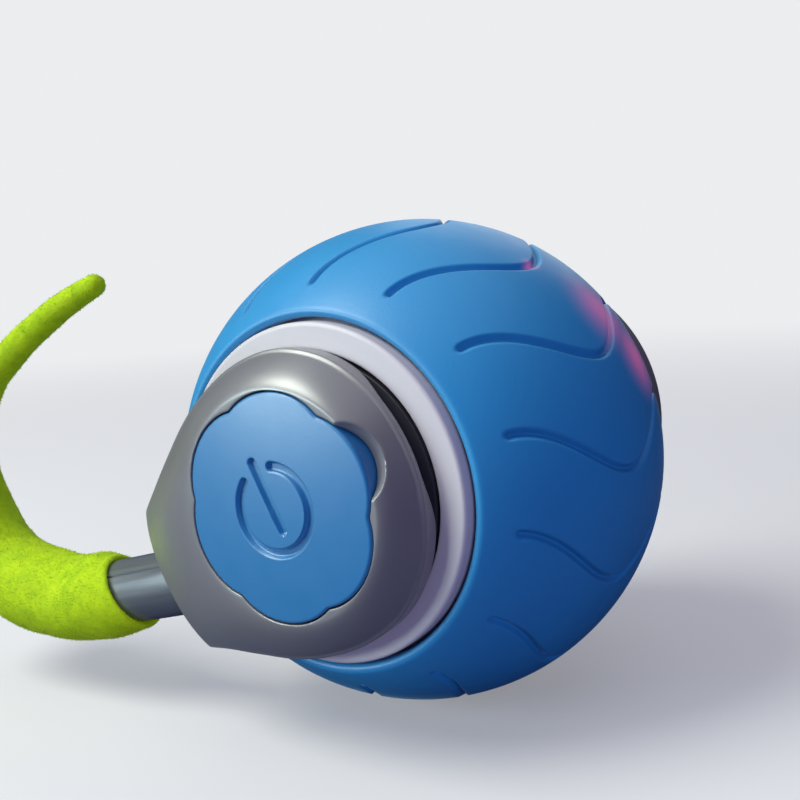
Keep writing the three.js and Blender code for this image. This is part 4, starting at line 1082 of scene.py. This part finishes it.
def hub_profile(hole):
    """A hub: floor, journal, flange and the raised ring that centres the cover."""
    floor_far, floor_near = 13.0 * MM, 14.0 * MM
    journal, flange, ring, well = 10.5 * MM, 11.7 * MM, 10.6 * MM, 9.65 * MM
    face, seat_top, top = 17.0 * MM, 15.9 * MM, 17.9 * MM
    soft = 0.12 * MM
    return rounded([
        (hole, floor_far, 0.05 * MM), (journal, floor_far, 0.2 * MM), (journal, seat_top, 0.05 * MM),
        (flange, seat_top, soft), (flange, face, soft), (ring, face, 0.05 * MM), (ring, top, soft),
        (well, top, soft), (well, floor_near, 0.3 * MM), (hole, floor_near, 0.1 * MM),
    ])


def turned_pair(context, kind, profile, sides, slot, body):
    """The near and the far one of a turned piece."""
    for side in ("near", "far"):
        made = solid(f"{kind}_{side}", lathe(profile, sides), far=side == "far")
        dress(made, finishes(context), slot, body, f"{side}_{kind}")


class CATBALL_OT_shells(bpy.types.Operator):
    """Build the two white shell halves"""

    bl_idname = "catball.shells"
    bl_label = "Shell halves"

    def execute(self, context):
        turned_pair(context, "shell", shell_profile(), 192, "white_shell", "rolling_shell")
        return {"FINISHED"}


class CATBALL_OT_hubs(bpy.types.Operator):
    """Build the two hubs that the shell turns on"""

    bl_idname = "catball.hubs"
    bl_label = "Hubs"

    def execute(self, context):
        turned_pair(context, "hub", hub_profile(1.7 * MM), 144, "dark_hub", "core")
        return {"FINISHED"}


class CATBALL_OT_caps(bpy.types.Operator):
    """Build the flower button with its power symbol and the far flower cap"""

    bl_idname = "catball.caps"
    bl_label = "Flower caps"

    def execute(self, context):
        sizes, looks = context.scene.cat_ball_sizes, finishes(context)
        made = solid("flower_button", cap_grid(sizes, button=True, turns=320), closed_rows=False)
        dress(made, looks, "blue_plastic", "button", "power_button")
        made = solid("flower_cap", cap_grid(sizes, button=False, turns=240), closed_rows=False, far=True)
        dress(made, looks, "blue_plastic", "cap", "charge_cap")
        return {"FINISHED"}


class CATBALL_OT_covers(bpy.types.Operator):
    """Build the tail bracket with its boss and peg, and the far cover"""

    bl_idname = "catball.covers"
    bl_label = "Covers"

    def execute(self, context):
        sizes, looks = context.scene.cat_ball_sizes, finishes(context)
        stem = sizes.stem_radius
        cover = solid("bracket", cover_grid(sizes, teardrop_outline(), TAIL_ANGLE + 180))
        room = rod(stem + STEM_ROOM, BOSS_REACH, BOSS_REACH + BOSS_LENGTH)
        carve(cover, solid("cutter", stem_lathe(room)))
        boss = rod(stem, BOSS_REACH - BOSS_LENGTH, BOSS_REACH, 0.15 * MM)
        block = solid("boss", stem_lathe(boss))
        under = lathe(rod(60 * MM, 0, COVER_BOTTOM + 0.2 * MM), 64)
        carve(block, solid("cutter", under), "INTERSECT")
        carve(block, ball_cutter(SWEEP_RADIUS))
        ring_room = lathe(rod(RING_ROOM, 0, COVER_BOTTOM - 0.02 * MM), 160)
        carve(block, solid("cutter", ring_room))
        peg = rod(stem - STEM_WALL - PEG_PLAY, BOSS_REACH - STEM_WALL, BOSS_REACH + PEG_LENGTH, 0.4 * MM)
        pin = carve(solid("peg", stem_lathe(peg)), ball_cutter(SWEEP_RADIUS))
        whole = join_meshes("cover_bracket", [cover, block, pin])
        dress(whole, looks, "grey_cover", "bracket", "tail_bracket")
        x, y = polar(FAR_OFFSET, FAR_ANGLE)
        turn = even_turns(720)
        outline = np.stack([x + FAR_RADIUS * np.cos(turn), y + FAR_RADIUS * np.sin(turn)], -1)
        made = solid("cover_far", cover_grid(sizes, outline, FAR_ANGLE + 180), far=True)
        dress(made, looks, "far_grey", "side_cover", "far_cover")
        return {"FINISHED"}


class CATBALL_OT_stem(bpy.types.Operator):
    """Build the tail's tube"""

    bl_idname = "catball.stem"
    bl_label = "Tail stem"

    def execute(self, context):
        outer = context.scene.cat_ball_sizes.stem_radius
        inner, plug = outer - STEM_WALL, STEM_END - STEM_PLUG
        profile = rounded([
            (inner, STEM_START, 0.1 * MM), (outer, STEM_START, 0.2 * MM), (outer, STEM_END, 0.9 * MM),
            (STEM_HOLE, STEM_END, 0), (STEM_HOLE, plug, 0), (inner, plug, 0),
        ], 7)
        made = carve(solid("stem_tube", stem_lathe(profile, 128, SEAM_DEPTH)), ball_cutter(SWEEP_RADIUS))
        dress(made, finishes(context), "grey_stem", "tail", "tail_stem")
        return {"FINISHED"}


class CATBALL_OT_plush(bpy.types.Operator):
    """Build the plush tail and its pile"""

    bl_idname = "catball.plush"
    bl_label = "Plush tail"

    def execute(self, context):
        plush, looks = context.scene.cat_ball_plush, finishes(context)
        made = solid("plush", plush_grid(plush), closed_rows=False)
        pile = linked("plush_pile", made.data.copy())
        run_tree(pile, "Plush pile", pile_fibres, {
            "Density": plush.pile_density * 1e6, "Length": plush.pile_length, "Width": plush.pile_width,
            "Seed": PILE_SEED, "Material": looks["lime_pile"],
        })
        dress(made, looks, "lime_plush", "tail", "tail_plush")
        dress(pile, looks, "lime_plush", "tail", look="lime_pile")
        return {"FINISHED"}


class CATBALL_OT_screws(bpy.types.Operator):
    """Put the screws on the hubs and the chassis"""

    bl_idname = "catball.screws"
    bl_label = "Screws"

    def execute(self, context):
        looks = finishes(context)
        names = [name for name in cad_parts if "screw" in name]
        if len(names) != SCREW_COUNT:
            raise RuntimeError(f"the frame has {len(names)} screws, and {SCREW_COUNT} are expected")
        spots, facing = [], []
        for name in names:
            low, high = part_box(name)
            outwards = -1.0 if name.startswith("near") else 1.0
            head = low.y if outwards < 0 else high.y
            spots.append(((low.x + high.x) / 2, head - outwards * SCREW_HEAD[1], (low.z + high.z) / 2))
            facing.append((0.0, outwards, 0.0))
        mesh = bpy.data.meshes.new("screws")
        mesh.from_pydata(spots, [], [])
        mesh.attributes.new("facing", "FLOAT_VECTOR", "POINT").data.foreach_set("vector", np.ravel(facing))
        made = linked("screws", mesh)
        screw = screw_mesh()
        run_tree(made, "Screws", screws_on_points, {"Screw": screw, "Scale": 1.0, "Material": looks["steel"]})
        bpy.data.objects.remove(screw)
        dress(made, looks, "steel", "core", *names)
        return {"FINISHED"}


INSIDE = {
    "white_shell": ["joint_ring"],
    "nylon": ["near_bush", "far_bush", "ring_gear", "idler_gear", "motor_pinion"],
    "steel": [
        "button_clip", "button_spring", "usb_port", "idler_axle", "motor_gearbox", "drive_motor",
        "counterweight", "tail_wire",
    ],
    "board": ["circuit_board", "charge_board"],
    "black_plastic": ["switch_body", "battery_lead_black", "motor_lead_black"],
    "red_plastic": ["switch_plunger", "battery_lead_red", "motor_lead_red"],
    "dark_hub": ["gear_plate", "chassis_tray"],
    "cell_wrap": ["battery"],
    "red_lens": ["led_red"],
    "violet_lens": ["led_violet"],
}


class CATBALL_OT_inside(bpy.types.Operator):
    """Give every CAD node that stays its material"""

    bl_idname = "catball.inside"
    bl_label = "Inside"

    def execute(self, context):
        looks = finishes(context)
        shown = {name for name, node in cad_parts.items() if not node.hide_render}
        for slot, names in INSIDE.items():
            for name in names:
                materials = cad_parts[name].data.materials
                materials.clear()
                materials.append(looks[slot])
        left = sorted(shown - set(sum(INSIDE.values(), [])))
        if left:
            raise RuntimeError(f"these nodes have no material yet: {left}")
        return {"FINISHED"}


# Camera, floor and light

CAMERA = {
    "azimuth": 29.5, "elevation": 6.85, "roll": -2.72, "distance": 4.76, "focal": 1109.9,
    "centre": (426.9, 455.2), "axis": (492.4, 368.8),
}
LIGHTS = {  # place, size, power, colour and whether it shows in glossy faces
    "sky": ((0, 0, 0.5), 0.7, 0.65, (0.9, 0.96, 1.0), True),
    "key": ((-0.17, -0.2, 0.34), 0.24, 1.65, (0.93, 1.0, 0.88), True),
    "front": ((-0.262, -0.362, 0.118), 0.19, 1.3, (0.8, 1.0, 0.98), True),
    "side": ((0.3, -0.26, 0.05), 0.2, 0.75, (0.56, 0.56, 1.0), False),
    "rim": ((-0.1, 0.3, 0.2), 0.24, 0.22, (0.78, 0.88, 1.0), True),
}
FLOOR_RADIUS = 3.0
FLOOR_FADE = (0.07, 0.42)  # metres from the ball, where the floor turns into the backdrop


def place_camera(scene):
    """The photograph's angle. It is a crop of a wider picture, so its axis lies off its middle."""
    a, e = math.radians(CAMERA["azimuth"]), math.radians(CAMERA["elevation"])
    forward = Vector((-math.sin(a) * math.cos(e), math.cos(a) * math.cos(e), -math.sin(e)))
    right = Vector((math.cos(a), math.sin(a), 0))
    up = right.cross(forward)
    tilt = math.radians(CAMERA["roll"])
    right, up = right * math.cos(tilt) + up * math.sin(tilt), up * math.cos(tilt) - right * math.sin(tilt)
    axis = CAMERA["axis"]
    aim = Vector((CAMERA["centre"][0] - axis[0], CAMERA["centre"][1] - axis[1], CAMERA["focal"])).normalized()
    reach = CAMERA["distance"] * BALL_RADIUS
    ball = Vector((0, 0, BALL_RADIUS))
    place = ball - (right * aim.x - up * aim.y + forward * aim.z) * reach
    data = bpy.data.cameras.new("camera")
    data.sensor_width = 36.0
    data.lens = CAMERA["focal"] / IMAGE * data.sensor_width
    data.clip_start, data.clip_end = 0.005, 20.0
    data.shift_x, data.shift_y = 0.5 - axis[0] / IMAGE, axis[1] / IMAGE - 0.5
    camera = linked("camera", data)
    camera.matrix_world = Matrix.Translation(place) @ Matrix((right, up, -forward)).transposed().to_4x4()
    scene.camera = camera


def soft_light(name, place, size, power, tint, gloss):
    data = bpy.data.lights.new(name, "AREA")
    data.shape = "DISK"
    data.size = size
    data.energy = power
    data.color = tint
    lamp = linked(name, data)
    lamp.location = place
    lamp.visible_glossy = gloss
    lamp.visible_camera = False
    aim = Vector((0, 0, BALL_RADIUS)) - Vector(place)
    lamp.rotation_euler = aim.to_track_quat("-Z", "Y").to_euler()


def floor_finish(pale):
    """A floor that takes the light near the ball and fades to a plain pale backdrop."""
    look = Finish("pale_floor")
    seen = look.value("ShaderNodeLightPath")
    away = (look.x * look.x + look.y * look.y).sum("SQRT").ramp(*FLOOR_FADE)
    look.set(base_color=look.mix(seen, (0.08, 0.085, 0.15), (0.483, 0.458, 0.48)))
    look.set(roughness=0.9, specular_ior_level=0.0)
    glow = look.mix(away, shade(pale, 0.3), pale)
    backdrop = look.node("ShaderNodeEmission", {"Color": look.mix(seen, BLACK, glow)})
    black = look.node("ShaderNodeEmission", {"Strength": 0.0})
    own = look.node("ShaderNodeMixShader", {0: away, 1: look.shader.outputs[0], 2: black.outputs[0]})
    both = look.node("ShaderNodeAddShader", {0: own.outputs[0], 1: backdrop.outputs[0]})
    look.feed(look.out.inputs[0], both.outputs[0])
    return look.material


class CATBALL_OT_stage(bpy.types.Operator):
    """Set the floor, the light and the camera"""

    bl_idname = "catball.stage"
    bl_label = "Stage"

    def execute(self, context):
        scene = context.scene
        pale = scene.cat_ball_colours.floor
        scene.view_settings.view_transform = "Standard"
        bpy.ops.mesh.primitive_circle_add(vertices=96, radius=FLOOR_RADIUS, fill_type="NGON")
        floor = context.active_object
        floor.name = "floor"
        floor.data.materials.append(floor_finish(pale))
        scene.world = bpy.data.worlds.new("studio")
        scene.world.use_nodes = True
        sky = Graph(scene.world.node_tree)
        sky.tree.nodes.clear()
        seen = sky.value("ShaderNodeLightPath")
        back = sky.node("ShaderNodeBackground", {"Color": sky.mix(seen, (0.05, 0.05, 0.11), pale)})
        sky.node("ShaderNodeOutputWorld", {0: back.outputs[0]})
        for name, values in LIGHTS.items():
            soft_light(name, *values)
        place_camera(scene)
        return {"FINISHED"}


# The panel and the run

OPERATORS = (
    CATBALL_OT_sleeve, CATBALL_OT_shells, CATBALL_OT_hubs, CATBALL_OT_caps, CATBALL_OT_covers,
    CATBALL_OT_stem, CATBALL_OT_plush, CATBALL_OT_screws, CATBALL_OT_inside, CATBALL_OT_stage,
)
GROUPS = {
    "cat_ball_sizes": CatBallSizes, "cat_ball_plush": CatBallPlush, "cat_ball_colours": CatBallColours,
}


class CATBALL_PT_panel(bpy.types.Panel):
    """Sizes, colours and pieces of the cat ball"""

    bl_idname = "CATBALL_PT_panel"
    bl_label = "Cat Ball"
    bl_space_type = "VIEW_3D"
    bl_region_type = "UI"
    bl_category = "Cat Ball"

    def draw(self, context):
        for name, group in GROUPS.items():
            box = self.layout.box()
            for key in group.__annotations__:
                box.prop(getattr(context.scene, name), key)
        for operator in OPERATORS:
            self.layout.operator(operator.bl_idname)


def register():
    for group in GROUPS.values():
        bpy.utils.register_class(group)
    for name, group in GROUPS.items():
        setattr(bpy.types.Scene, name, bpy.props.PointerProperty(type=group))
    for operator in (*OPERATORS, CATBALL_PT_panel):
        bpy.utils.register_class(operator)


def unregister():
    for operator in (CATBALL_PT_panel, *reversed(OPERATORS)):
        bpy.utils.unregister_class(operator)
    for name in GROUPS:
        delattr(bpy.types.Scene, name)
    for group in GROUPS.values():
        bpy.utils.unregister_class(group)


def main():
    register()
    for operator in OPERATORS:
        family, name = operator.bl_idname.split(".")
        getattr(getattr(bpy.ops, family), name)()


if __name__ == "__main__":
    main()
